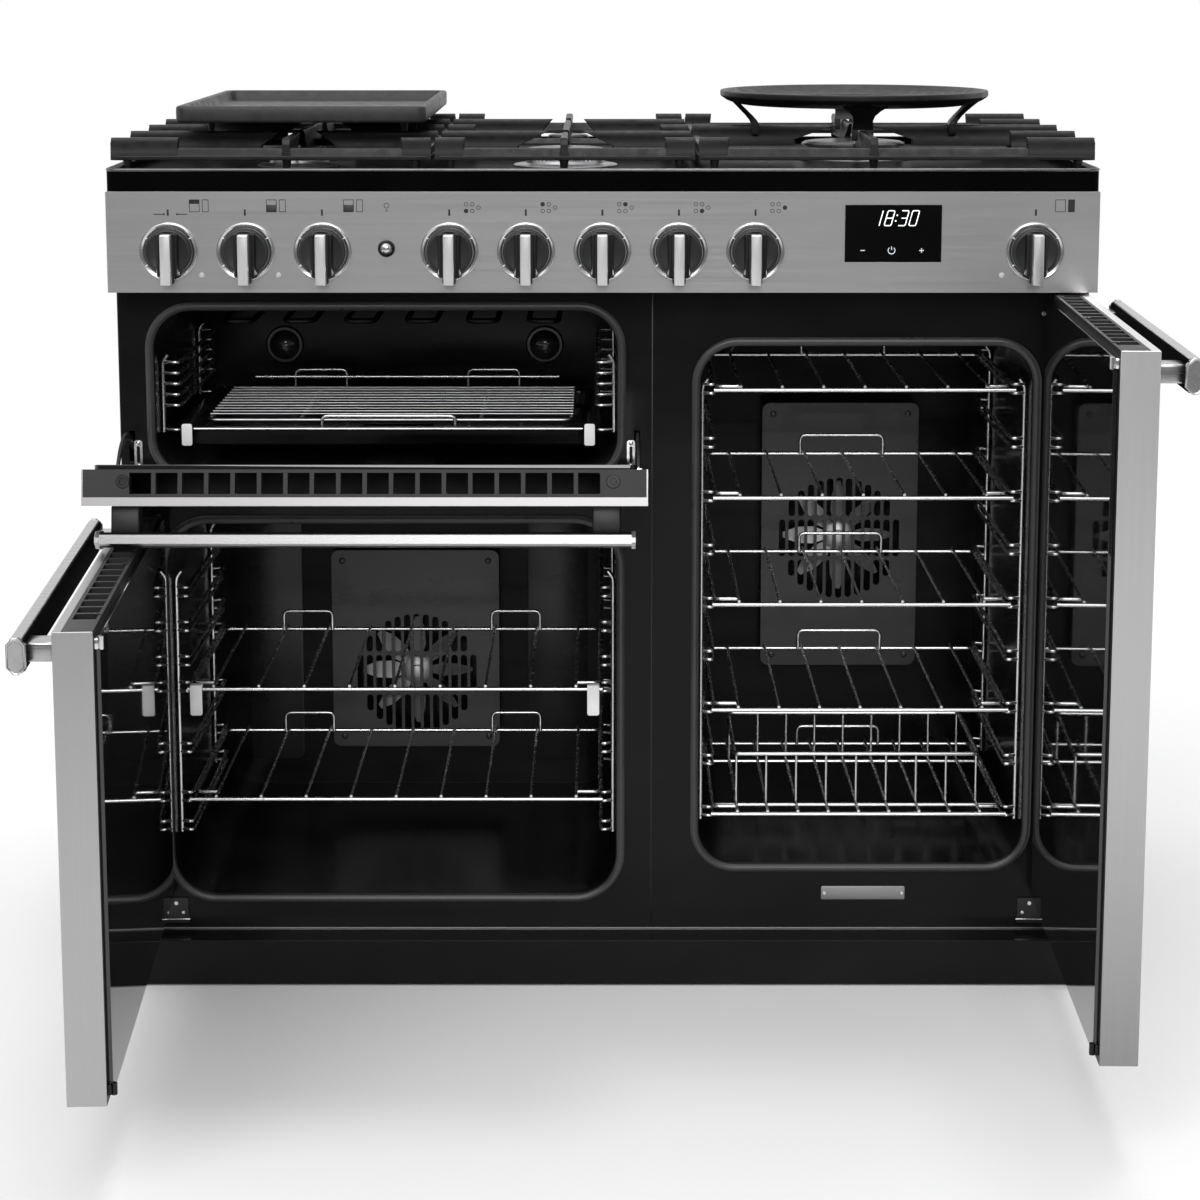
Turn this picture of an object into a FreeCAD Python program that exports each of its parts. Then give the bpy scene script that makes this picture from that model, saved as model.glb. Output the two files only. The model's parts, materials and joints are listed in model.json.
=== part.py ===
import FreeCAD, Part

import math
import os

import Sketcher

# A dual fuel range cooker, 1.1 m wide, with a grill, a wide oven, a tall oven and a five-burner gas hob.
# Millimetres. +X is to the right as one faces the doors, +Y runs from the front to the wall, +Z is up.
# The origin is on the floor, midway between the hinge pins of the two side doors.

# Driving dimensions
SIZES = {
    # The body and its sheets
    "body_width": 1092.0,
    "panel_front": -22.0,
    "body_back": 578.0,
    "sheet": 1.5,
    "play": 0.3,
    "overrun": 2.0,
    "tray_low": 55.0,
    "panel_top": 918.4,
    "face_front": 31.0,
    "face_sheet": 2.0,
    "face_top": 807.0,
    # The base
    "foot_radius": 22.0,
    "foot_height": 9.0,
    "foot_bevel": 4.0,
    "foot_stud": 6.0,
    "foot_inset": 66.0,
    "foot_front": 93.0,
    "foot_rear": 518.0,
    "runner_wide": 46.0,
    "runner_high": 11.0,
    "plinth_gap": 2.0,
    "plinth_front": -9.0,
    "plinth_lap": 17.0,
    # The back panel's vents and entries
    "vent_long": 60.0,
    "vent_high": 8.0,
    "vent_pitch": 92.0,
    "vent_low": 130.0,
    "vent_row": 700.0,
    "gas_inlet_x": 430.0,
    "gas_inlet_z": 650.0,
    "gas_inlet_radius": 13.0,
    "gas_bore": 7.5,
    "gas_inlet_long": 40.0,
    "cable_x": -430.0,
    "cable_z": 600.0,
    "cable_entry_radius": 11.0,
    # The three cavities
    "liner_back": 468.0,
    "grill_margin": 41.0,
    "grill_right": 16.0,
    "grill_low": 594.0,
    "grill_high": 780.0,
    "grill_back": 418.0,
    "grill_round": 42.0,
    "main_margin": 50.0,
    "main_right": 15.0,
    "main_low": 98.0,
    "main_high": 536.0,
    "main_round": 48.0,
    "tall_left": 111.0,
    "tall_margin": 61.0,
    "tall_low": 135.0,
    "tall_high": 740.0,
    "tall_round": 42.0,
    "seal_inset": 2.0,
    "seal_wide": 7.0,
    "seal_play": 0.4,
    # The doors
    "door_front": -18.0,
    "door_deep": 38.0,
    "door_lip": 9.0,
    "door_glass": 5.0,
    "glass_side": 11.0,
    "glass_end": 8.0,
    "glass_round": 8.0,
    "stile": 14.0,
    "rail_high": 14.0,
    "slot_wide": 22.8,
    "slot_pitch": 27.4,
    "slot_deep": 22.0,
    "slot_end": 38.0,
    "door_side_gap": 5.0,
    "left_door_right": 47.0,
    "tall_door_left": 51.0,
    "door_low": 93.5,
    "main_door_top": 556.0,
    "grill_door_low": 561.5,
    "door_top": 804.0,
    "main_door_open": 87.0,
    "tall_door_open": 88.6,
    "grill_door_open": 79.0,
    # The doors' hinges
    "pin_inset": 26.0,
    "pin_y": 0.0,
    "pin_radius": 4.0,
    "pin_play": 0.06,
    "pin_long": 20.0,
    "tongue_radius": 8.0,
    "tongue_thick": 3.0,
    "notch_high": 7.0,
    "notch_wide": 34.0,
    "block_wide": 36.0,
    "block_high": 26.0,
    "bracket_wide": 44.0,
    "bracket_inset": 38.0,
    "bracket_high": 30.0,
    "bracket_thick": 2.6,
    "grill_pin_y": -10.0,
    "grill_pin_z": 573.5,
    "grill_pin_long": 22.0,
    "ear_thick": 2.5,
    "ear_radius": 7.0,
    "stay_radius": 70.0,
    "stay_wide": 8.0,
    "stay_thick": 3.0,
    "stay_inset": 8.0,
    "stay_start": 62.0,
    "stay_sweep": 98.0,
    # The handles
    "handle_high": 33.4,
    "handle_flat": 11.2,
    "handle_outer_bulge": 3.2,
    "handle_inner_bulge": 2.0,
    "handle_proud": 43.0,
    "handle_deep": 16.4,
    "handle_drop": 26.0,
    "handle_inset": 12.0,
    "handle_cap": 5.0,
    "handle_cap_lip": 1.2,
    "post_high": 19.0,
    "post_long": 30.0,
    "post_inset": 28.0,
    # The control panel
    "shaft_hole": 4.25,
    "spindle_long": 12.0,
    "oven_knob_margin": 68.3,
    "oven_knob_pitch": 84.65,
    "gas_knob_x": -168.6,
    "gas_knob_pitch": 84.1,
    "tall_knob_margin": 70.3,
    "knob_z": 852.5,
    "knob_radius": 25.5,
    "knob_disc": 9.0,
    "knob_bevel": 2.0,
    "knob_proud": 29.0,
    "grip_wide": 21.0,
    "grip_face": 13.0,
    "grip_up": 21.0,
    "grip_down": 35.0,
    "bezel_outer": 32.0,
    "bezel_inner": 27.0,
    "bezel_proud": 4.5,
    "shaft_radius": 4.0,
    "button_x": -238.0,
    "button_z": 856.0,
    "button_radius": 6.4,
    "button_proud": 9.0,
    "button_ring": 9.4,
    "display_wide": 105.7,
    "display_gap": 103.4,
    "display_low": 841.0,
    "display_high": 903.6,
    "display_proud": 0.6,
    "display_thick": 4.0,
    "lens_radius": 2.5,
    "lens_z": 826.3,
    "lens_side": 36.0,
    # The hob
    "hob_top": 943.4,
    "hob_rim": 12.0,
    "hob_well": 8.0,
    "hob_round": 14.0,
    "left_burner_x": -351.0,
    "centre_burner_x": -43.0,
    "right_burner_x": 301.0,
    "front_burner_y": 150.0,
    "rear_burner_y": 408.0,
    "wok_burner_y": 278.0,
    "burner_head": 15.0,
    "burner_cup": 22.0,
    "burner_cap": 6.0,
    "bowl_lip": 14.0,
    "small_burner": 26.0,
    "middle_burner": 34.0,
    "large_burner": 46.0,
    "wok_burner": 62.0,
    # The pan supports
    "support_front": 16.0,
    "support_rear": 544.0,
    "left_support_right": -190.0,
    "centre_support_left": -187.0,
    "centre_support_right": 103.0,
    "right_support_left": 106.0,
    "support_low": 950.0,
    "support_bar": 958.5,
    "support_top": 975.0,
    "bar_wide": 12.0,
    "finger_wide": 10.0,
    "finger_draft": 1.5,
    "finger_reach": 20.0,
    "finger_clear": 9.0,
    "outer_finger": 74.0,
    "inner_finger": 32.0,
    "support_foot": 9.0,
    # The griddle
    "griddle_inset": 64.0,
    "griddle_right": -199.0,
    "griddle_front": 70.0,
    "griddle_rear": 498.0,
    "griddle_low": 988.5,
    "griddle_top": 1007.0,
    "griddle_floor": 6.0,
    "griddle_rim": 9.0,
    "griddle_round": 12.0,
    "griddle_foot": 16.0,
    "griddle_foot_inset": 30.0,
    # The wok ring
    "ring_outer": 160.0,
    "ring_inner": 112.0,
    "ring_top": 1017.0,
    "ring_low": 1000.0,
    "ring_thick": 7.0,
    "ring_leg_thick": 9.0,
    "ring_leg_reach": 118.0,
    "ring_leg_top": 38.0,
    "ring_leg_waist": 13.0,
    "ring_leg_down": 12.0,
    # The wire goods
    "wire_radius": 2.6,
    "thin_wire": 1.7,
    "ladder_front": 66.0,
    "ladder_rear": 350.0,
    "post_gap": 2.9,
    "runner_gap": 17.0,
    "grill_runner_gap": 22.5,
    "shelf_inset": 18.0,
    "shelf_front": 52.0,
    "shelf_deep": 294.0,
    "shelf_turn": 28.0,
    "shelf_turn_back": 30.0,
    "stand_wire": 2.1,
    "stand_high": 22.0,
    "stand_wide": 61.0,
    "stand_spread": 131.0,
    "tall_stand_wide": 103.0,
    "main_shelf_low": 205.0,
    "main_shelf_high": 337.0,
    "main_ladder_low": 162.0,
    "main_ladder_high": 474.0,
    "tall_shelf_low": 187.0,
    "tall_shelf_pitch": 125.0,
    "tall_ladder_low": 177.5,
    "tall_ladder_high": 698.0,
    "grill_ladder_low": 636.5,
    "grill_ladder_high": 726.0,
    "grill_rung_low": 667.8,
    "grill_rung_pitch": 12.4,
    "plate_rack_high": 62.0,
    "plate_rack_front": 88.0,
    "plate_rack_deep": 180.0,
    # The grill pan and its rack
    "pan_side": 19.0,
    "pan_front": 54.0,
    "pan_rear": 364.0,
    "pan_rim_z": 643.5,
    "pan_deep": 24.0,
    "pan_sheet": 1.6,
    "pan_rim": 9.0,
    "pan_round": 22.0,
    "rack_inset": 30.0,
    "carrier_spread": 108.0,
    "carrier_wide": 64.0,
    "rack_height": 644.0,
    # Fans, baffles and elements
    "main_fan_x": -241.0,
    "main_fan_z": 258.0,
    "tall_fan_x": 304.0,
    "tall_fan_z": 437.0,
    "fan_front": 440.0,
    "fan_deep": 16.0,
    "fan_radius": 70.0,
    "fan_hub": 20.0,
    "fan_sheet": 1.5,
    "fan_bore": 3.0,
    "blade_root": 14.0,
    "blade_tip": 30.0,
    "baffle_front": 428.0,
    "main_baffle_left": -350.0,
    "main_baffle_right": -134.0,
    "main_baffle_low": 160.0,
    "main_baffle_high": 421.0,
    "tall_baffle_left": 204.0,
    "tall_baffle_right": 404.0,
    "tall_baffle_low": 269.0,
    "tall_baffle_high": 613.0,
    "baffle_slot": 12.0,
    "baffle_slot_pitch": 22.0,
    "baffle_slot_long": 38.0,
    "motor_radius": 38.0,
    "motor_deep": 62.0,
    "element_radius": 86.0,
    "element_wire": 3.6,
    # The gas and electric parts behind the panel
    "rail_y": 14.0,
    "rail_z": 880.0,
    "rail_radius": 6.0,
    "tap_radius": 9.0,
    "tap_long": 42.0,
    "switch_wide": 34.0,
    "switch_deep": 26.0,
    "terminal_wide": 70.0,
    "terminal_high": 60.0,
    "terminal_deep": 34.0,
    "terminal_entry": 26.0,
}

# A hexagon's half width across flats, the flats that stand for a round, and how many there are of what repeats
FLAT_SHARE = math.sqrt(3) / 2
ROUND_FLATS = 20
FOOT_FLATS = 16
OVEN_KNOBS = 3
GAS_KNOBS = 5
TALL_SHELVES = 4
MAIN_WIRES = 9
TALL_WIRES = 7
PLATE_WIRES = 9
RACK_WIRES = 13
GRILL_RUNGS = 5
GRILL_LOOPS = 3
FAN_BLADES = 8
VENTS = 10

doc = FreeCAD.newDocument("range_cooker")
sheet = doc.addObject("Spreadsheet::Sheet", "sizes")
for row, (alias, number) in enumerate(SIZES.items(), 1):
    sheet.set(f"A{row}", alias)
    sheet.set(f"B{row}", str(number))
    sheet.setAlias(f"B{row}", alias)
doc.recompute()


class Size:
    """A length or angle: its number now, and the formula on the sheet that gives it."""

    def __init__(self, number, text):
        self.number = number
        self.text = text

    def __add__(self, other):
        return Size(self.number + number_of(other), f"({self.text} + {text_of(other)})")

    def __radd__(self, other):
        return Size(number_of(other) + self.number, f"({text_of(other)} + {self.text})")

    def __sub__(self, other):
        return Size(self.number - number_of(other), f"({self.text} - {text_of(other)})")

    def __rsub__(self, other):
        return Size(number_of(other) - self.number, f"({text_of(other)} - {self.text})")

    def __mul__(self, other):
        return Size(self.number * number_of(other), f"({self.text} * {text_of(other)})")

    def __rmul__(self, other):
        return self * other

    def __truediv__(self, other):
        return Size(self.number / number_of(other), f"({self.text} / {text_of(other)})")

    def __neg__(self):
        return Size(-self.number, f"(-{self.text})")


def sine(angle):
    """The sine of an angle in degrees."""
    return Size(math.sin(math.radians(number_of(angle))), f"sin({text_of(angle)})")


def cosine(angle):
    """The cosine of an angle in degrees."""
    return Size(math.cos(math.radians(number_of(angle))), f"cos({text_of(angle)})")


class Named:
    """The sheet's sizes, each under its own name."""

    def __init__(self):
        for name in SIZES:
            setattr(self, name, Size(float(getattr(sheet, name)), f"sizes.{name}"))


def number_of(item):
    return item.number if isinstance(item, Size) else float(item)


def text_of(item):
    return item.text if isinstance(item, Size) else repr(item)


size = Named()
NODES = {}

# Places that follow the body's width and the cavities
half_width = size.body_width / 2
size.grill_left = size.grill_margin - half_width
size.main_left = size.main_margin - half_width
size.tall_right = half_width - size.tall_margin
size.left_door_left = size.door_side_gap - half_width
size.tall_door_right = half_width - size.door_side_gap
size.pin_x = half_width - size.pin_inset
size.bracket_inner = size.pin_x - size.bracket_inset
size.oven_knob_x = size.oven_knob_margin - half_width
size.tall_knob_x = half_width - size.tall_knob_margin
size.display_right = size.tall_knob_x - size.display_gap
size.display_left = size.display_right - size.display_wide
size.left_support_left = -half_width
size.right_support_right = half_width
size.griddle_left = size.left_support_left + size.griddle_inset
size.pan_left = size.grill_left + size.pan_side
size.pan_right = size.grill_right - size.pan_side

TURN = {
    "x": FreeCAD.Rotation(FreeCAD.Vector(0, 1, 0), 90),
    "y": FreeCAD.Rotation(FreeCAD.Vector(1, 0, 0), -90),
    "-y": FreeCAD.Rotation(FreeCAD.Vector(1, 0, 0), 90),
    "z": FreeCAD.Rotation(),
    "back": FreeCAD.Rotation(FreeCAD.Vector(0, 0, 1), 180),
    "-z": FreeCAD.Rotation(FreeCAD.Vector(1, 0, 0), 180),
}


# How pieces are made


def bind(piece, **sizes):
    """Tie the piece's properties to the sheet."""
    for name, item in sizes.items():
        if isinstance(item, Size):
            piece.setExpression(name, item.text)
        else:
            setattr(piece, name, item)


def place(piece, at, way="z"):
    """Put the piece's own origin at a point, with its own Z along a way."""
    piece.Placement = FreeCAD.Placement(FreeCAD.Vector(), TURN[way])
    for axis, item in zip("xyz", at):
        if isinstance(item, Size):
            piece.setExpression(f"Placement.Base.{axis}", item.text)


def box(name, low, high):
    """A block between two corners."""
    piece = doc.addObject("Part::Box", name)
    bind(piece, Length=high[0] - low[0], Width=high[1] - low[1], Height=high[2] - low[2])
    place(piece, low)
    return piece


def rod(name, at, radius, length, way="z"):
    """A round bar from a point along a way."""
    piece = doc.addObject("Part::Cylinder", name)
    bind(piece, Radius=radius, Height=length)
    place(piece, at, way)
    return piece


def wire(name, at, length, way, radius):
    """A straight length of wire, drawn with six flats."""
    piece = doc.addObject("Part::Prism", name)
    piece.Polygon = 6
    bind(piece, Circumradius=radius, Height=length)
    place(piece, at, way)
    return piece


def bar(name, at, radius, length, way="z", sides=12):
    """A round bar of a kind that repeats, drawn with flats."""
    piece = wire(name, at, length, way, radius)
    piece.Polygon = sides
    return piece


def lathe(name, sections, sides, at, way="z"):
    """A turned solid drawn with flats: its sections (radius, height), in order along its axis."""
    rings = []
    for step, (radius, height) in enumerate(sections):
        ring = doc.addObject("Part::RegularPolygon", f"{name}_ring_{step}")
        ring.Polygon = sides
        bind(ring, Circumradius=radius)
        place(ring, (0, 0, height))
        rings.append(ring)
    piece = doc.addObject("Part::Loft", name)
    piece.Sections = rings
    piece.Solid = True
    piece.Ruled = True
    place(piece, at, way)
    return piece


def wedge(name, low, high, top_low, top_high):
    """A block whose top is another rectangle than its foot: corners (x, y, z), top corners (x, y)."""
    piece = doc.addObject("Part::Wedge", name)
    bind(piece, Xmin=low[0], Xmax=high[0], Ymin=low[2], Ymax=high[2], Zmin=-high[1], Zmax=-low[1])
    bind(piece, X2min=top_low[0], X2max=top_high[0], Z2min=-top_high[1], Z2max=-top_low[1])
    piece.Placement = FreeCAD.Placement(FreeCAD.Vector(), TURN["-y"])
    return piece


def fuse(name, pieces):
    """One solid of several."""
    piece = doc.addObject("Part::MultiFuse", name)
    piece.Shapes = pieces
    piece.Refine = True
    return piece


def cut(name, base, tools):
    """The base with the tools taken away."""
    piece = doc.addObject("Part::Cut", name)
    piece.Base = base
    piece.Tool = tools[0] if len(tools) == 1 else group(f"{name}_tools", tools)
    return piece


def group(name, pieces):
    """Several separate solids under one name."""
    piece = doc.addObject("Part::Compound", name)
    piece.Links = pieces
    return piece


def node(name, piece):
    """Keep a finished sub-part under its name."""
    piece.Label = name
    NODES[name] = piece
    return piece


def swing(piece, axis, centre, angle):
    """Turn a finished piece about a hinge line along x or z, from shut to the pose that it rests in."""
    first, second = centre
    turn, lean = cosine(angle), sine(angle)
    vector = FreeCAD.Vector(0, 0, 1) if axis == "z" else FreeCAD.Vector(1, 0, 0)
    piece.Placement = FreeCAD.Placement(FreeCAD.Vector(), FreeCAD.Rotation(vector, angle.number))
    piece.setExpression("Placement.Rotation.Angle", angle.text)
    across, up = ("x", "y") if axis == "z" else ("y", "z")
    piece.setExpression(f"Placement.Base.{across}", (first - (first * turn - second * lean)).text)
    piece.setExpression(f"Placement.Base.{up}", (second - (first * lean + second * turn)).text)


def origin_plane(body, role):
    return next(item for item in body.Origin.OriginFeatures if item.Role == role)


def outline(body, plane, points, bulges=None, label="outline"):
    """A closed outline tied to the sheet: corners (u, v), and how far a side bulges to its right."""
    bulges = bulges or {}
    sketch = body.newObject("Sketcher::SketchObject", f"{body.Name}_{label}")
    sketch.AttachmentSupport = [(origin_plane(body, plane), "")]
    sketch.MapMode = "FlatFace"
    corners = [FreeCAD.Vector(number_of(u), number_of(v), 0) for u, v in points]
    count = len(corners)
    for side in range(count):
        start, end = corners[side], corners[(side + 1) % count]
        if side in bulges:
            along = (end - start).normalize()
            out = FreeCAD.Vector(along.y, -along.x, 0) * number_of(bulges[side])
            sketch.addGeometry(Part.Arc(start, (start + end) / 2 + out, end), False)
        else:
            sketch.addGeometry(Part.LineSegment(start, end), False)
    ends = []
    for side in range(count):
        first = sketch.getPoint(side, 1).distanceToPoint(corners[side]) < 1e-6
        ends.append((1, 2) if first else (2, 1))
    for side in range(count):
        after = (side + 1) % count
        sketch.addConstraint(Sketcher.Constraint("Coincident", side, ends[side][1], after, ends[after][0]))
    for side, (corner, point) in enumerate(zip(corners, points)):
        for kind, number, item in (("DistanceX", corner.x, point[0]), ("DistanceY", corner.y, point[1])):
            index = sketch.addConstraint(Sketcher.Constraint(kind, -1, 1, side, ends[side][0], number))
            if isinstance(item, Size):
                sketch.setExpression(f"Constraints[{index}]", item.text)
    for side, bulge in bulges.items():
        start, end = points[side], points[(side + 1) % count]
        chord = length_of(end[0] - start[0], end[1] - start[1])
        depth = bulge if number_of(bulge) > 0 else -bulge
        radius = (chord * chord / 4 + depth * depth) / (2 * depth)
        index = sketch.addConstraint(Sketcher.Constraint("Radius", side, radius.number))
        sketch.setExpression(f"Constraints[{index}]", radius.text)
    return sketch


def length_of(across, up):
    """The distance that two sizes at right angles make."""
    number = math.hypot(number_of(across), number_of(up))
    return Size(number, f"sqrt({text_of(across)} ^ 2 + {text_of(up)} ^ 2)")


def padded(name, plane, points, thickness, bulges=None):
    """A body made of one outline of some thickness, half each side of the plane."""
    body = doc.addObject("PartDesign::Body", name)
    sketch = outline(body, plane, points, bulges)
    pad = body.newObject("PartDesign::Pad", f"{name}_pad")
    pad.Profile = sketch
    pad.Midplane = True
    bind(pad, Length=thickness)
    return body


def turned(name, points, bulges=None):
    """A body turned about its own Z axis: corners (radius, height)."""
    body = doc.addObject("PartDesign::Body", name)
    sketch = outline(body, "XZ_Plane", points, bulges)
    turn = body.newObject("PartDesign::Revolution", f"{name}_turn")
    turn.Profile = sketch
    turn.ReferenceAxis = (sketch, ["V_Axis"])
    turn.Angle = 360
    return body


def rounded(name, low, high, radius, way="y"):
    """A block between two corners whose edges along one way are rounded."""
    body = doc.addObject("PartDesign::Body", name)
    block = body.newObject("PartDesign::AdditiveBox", f"{name}_block")
    bind(block, Length=high[0] - low[0], Width=high[1] - low[1], Height=high[2] - low[2])
    place(block, low)
    doc.recompute()
    soft = body.newObject("PartDesign::Fillet", f"{name}_soft")
    edges = enumerate(block.Shape.Edges, 1)
    chosen = [f"Edge{index}" for index, edge in edges if abs(getattr(edge.tangentAt(0), way)) > 0.9]
    soft.Base = (block, chosen)
    bind(soft, Radius=radius)
    return body


def polar(body, features, count, name):
    """Repeat features of a body round its own Z axis."""
    doc.recompute()
    pattern = body.newObject("PartDesign::PolarPattern", name)
    pattern.Originals = features
    pattern.Axis = (origin_plane(body, "Z_Axis"), [""])
    pattern.Angle = 360
    pattern.Occurrences = count
    body.Tip = pattern
    return body


# The base, the sides and the back


def base_tray():
    """The floor of the body, with the two channels that the feet screw into."""
    half = size.body_width / 2 - size.sheet
    low = size.tray_low
    floor = box("tray_floor", (-half, size.face_front, low), (half, size.body_back - size.sheet, low + size.sheet))
    pieces = [floor]
    for name, y in (("front", size.foot_front), ("rear", size.foot_rear)):
        near = y - size.runner_wide / 2
        far = y + size.runner_wide / 2
        channel = box(f"{name}_channel", (-half, near, low - size.runner_high), (half, far, low))
        inside = box(
            f"{name}_channel_inside",
            (-half - size.overrun, near + size.sheet, low - size.runner_high + size.sheet),
            (half + size.overrun, far - size.sheet, low),
        )
        pieces.append(cut(f"{name}_channel_open", channel, [inside]))
    node("base_tray", fuse("tray_and_channels", pieces))


def levelling_feet():
    """Four screw feet: a bevelled pad on a stud that reaches the channel above it."""
    feet = []
    reach = size.tray_low - size.runner_high
    for side in (-1, 1):
        for name, y in (("front", size.foot_front), ("rear", size.foot_rear)):
            at = (side * (size.body_width / 2 - size.foot_inset), y, 0)
            label = f"{name}_{'left' if side < 0 else 'right'}"
            sections = [
                (size.foot_radius, 0),
                (size.foot_radius, size.foot_height - size.foot_bevel),
                (size.foot_radius - size.foot_bevel, size.foot_height),
            ]
            pad = lathe(f"foot_pad_{label}", sections, FOOT_FLATS, at)
            feet.append(fuse(f"foot_{label}", [pad, bar(f"foot_stud_{label}", at, size.foot_stud, reach)]))
    node("levelling_feet", group("feet", feet))


def plinth():
    """The folded kick plate below the doors, lapped under the tray."""
    half = size.body_width / 2
    front, back, top = size.plinth_front, size.face_front + size.plinth_lap, size.tray_low
    shell = box("plinth_shell", (-half, front, size.plinth_gap), (half, back, top))
    inside = box(
        "plinth_inside",
        (-half + size.sheet, front + size.sheet, size.plinth_gap - size.overrun),
        (half - size.sheet, back + size.overrun, top - size.sheet),
    )
    node("plinth", cut("plinth_folded", shell, [inside]))


def side_panels():
    """The two painted sides."""
    half = size.body_width / 2
    panels = []
    for name, left in (("left", -half), ("right", half - size.sheet)):
        low = (left, size.face_front, size.tray_low)
        high = (left + size.sheet, size.body_back - size.sheet, size.panel_top)
        panels.append(box(f"{name}_side", low, high))
    node("side_panels", group("sides", panels))


def back_panel():
    """The rear sheet, with two rows of vents and the holes for gas and mains."""
    half = size.body_width / 2
    front = size.body_back - size.sheet
    plate = box("rear_sheet", (-half, front, size.tray_low), (half, size.body_back, size.panel_top))
    tools = []
    for row in range(2):
        z = size.vent_low + row * size.vent_row
        for step in range(VENTS):
            x = (step - (VENTS - 1) / 2) * size.vent_pitch
            low = (x - size.vent_long / 2, front - size.overrun, z)
            high = (x + size.vent_long / 2, size.body_back + size.overrun, z + size.vent_high)
            tools.append(box(f"vent_{row}_{step}", low, high))
    through = size.sheet + 2 * size.overrun
    entries = (
        ("gas_hole", size.gas_inlet_x, size.gas_inlet_z, size.gas_inlet_radius + size.play),
        ("cable_hole", size.cable_x, size.cable_z, size.cable_entry_radius),
    )
    for name, x, z, radius in entries:
        tools.append(rod(name, (x, front - size.overrun, z), radius, through, "y"))
    node("back_panel", cut("rear_sheet_open", plate, tools))


# The cavities


def cavity(name):
    """A cavity's inner corners and corner radius: left, right, low, high, back, round."""
    sides = [getattr(size, f"{name}_{side}") for side in ("left", "right", "low", "high")]
    back = size.grill_back if name == "grill" else size.liner_back
    return sides + [back, getattr(size, f"{name}_round")]


def cavity_block(name, label, front, back, grow):
    """A rounded block as wide as a cavity, grown on all four sides."""
    left, right, low, high, _, radius = cavity(name)
    return rounded(label, (left - grow, front, low - grow), (right + grow, back, high + grow), radius + grow)


def liners():
    """The three enamelled cavities, open at the front."""
    start = size.face_front + size.face_sheet
    for name in ("grill", "main", "tall"):
        back = cavity(name)[4]
        outer = cavity_block(name, f"{name}_liner_outer", start, back + size.sheet, size.sheet)
        inner = cavity_block(name, f"{name}_liner_inner", start - size.overrun, back, 0)
        tools = [inner]
        if name != "grill":
            x, z = getattr(size, f"{name}_fan_x"), getattr(size, f"{name}_fan_z")
            tools.append(rod(f"{name}_shaft_hole", (x, back - size.overrun, z), size.fan_hub / 2, size.sheet * 4, "y"))
        label = "grill_liner" if name == "grill" else f"{name}_oven_liner"
        node(label, cut(f"{name}_liner_open", outer, tools))


def door_seals():
    """The three seals round the openings, as thick as the gap that the shut doors leave."""
    seals = []
    front = size.door_front + size.door_deep + size.door_glass + size.seal_play
    for name in ("grill", "main", "tall"):
        outer = cavity_block(name, f"{name}_seal_outer", front, size.face_front, size.seal_inset + size.seal_wide)
        inner = cavity_block(
            name, f"{name}_seal_inner", front - size.overrun, size.face_front + size.overrun, size.seal_inset
        )
        seals.append(cut(f"{name}_seal", outer, [inner]))
    node("door_seals", group("seals", seals))


def face_plate():
    """The enamelled front frame, with the three openings and the slots for hinges and stays."""
    half = size.body_width / 2 - size.sheet
    front, back = size.face_front, size.face_front + size.face_sheet
    plate = box("face_sheet_plate", (-half, front, size.tray_low + size.sheet), (half, back, size.face_top))
    tools = []
    for name in ("grill", "main", "tall"):
        tools.append(cavity_block(name, f"{name}_opening", front - size.overrun, back + size.overrun, 0))
    for name, side, top in (("main", -1, size.main_door_top), ("tall", 1, size.door_top)):
        x = side * size.pin_x
        reach = size.tongue_radius + size.play
        low = (x - reach, front - size.overrun, top - 2 * size.tongue_thick - size.play)
        high = (x + reach, back + size.overrun, top - size.tongue_thick + size.play)
        tools.append(box(f"{name}_hinge_slot", low, high))
    for side in (-1, 1):
        x = stay_x(side)
        low = (x - size.stay_thick, front - size.overrun, size.grill_pin_z + size.stay_radius / 2)
        high = (x + size.stay_thick, back + size.overrun, size.grill_pin_z + size.stay_radius)
        tools.append(box(f"stay_slot_{'left' if side < 0 else 'right'}", low, high))
    node("face_plate", cut("face_plate_open", plate, tools))


# The hob


def burner_places():
    """Each burner: name, x, y and head radius."""
    return (
        ("left_front", size.left_burner_x, size.front_burner_y, size.middle_burner),
        ("left_rear", size.left_burner_x, size.rear_burner_y, size.middle_burner),
        ("centre_front", size.centre_burner_x, size.front_burner_y, size.large_burner),
        ("centre_rear", size.centre_burner_x, size.rear_burner_y, size.small_burner),
        ("right", size.right_burner_x, size.wok_burner_y, size.wok_burner),
    )


def hotplate():
    """The pressed hob tray: a raised rim round a sunken well with a hole for each burner."""
    half = size.body_width / 2
    low, top = size.panel_top, size.hob_top
    floor = top - size.hob_well
    front, rim = size.panel_front, size.hob_rim
    slab = rounded("hob_slab", (-half, front, low), (half, size.body_back, top), size.hob_round, "z")
    well = rounded(
        "hob_well_cut", (-half + rim, front + rim, floor), (half - rim, size.body_back - rim, top + size.overrun),
        size.hob_round, "z",
    )
    under = box(
        "hob_under",
        (-half + rim / 2, front + rim / 2, low - size.overrun),
        (half - rim / 2, size.body_back - rim / 2, floor - size.sheet),
    )
    tools = [well, under]
    for name, x, y, radius in burner_places():
        start = (x, y, floor - size.overrun - size.sheet)
        tools.append(bar(f"{name}_hole", start, radius * 0.6, size.sheet + 2 * size.overrun))
    node("hotplate", cut("hob_pressed", slab, tools))


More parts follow.
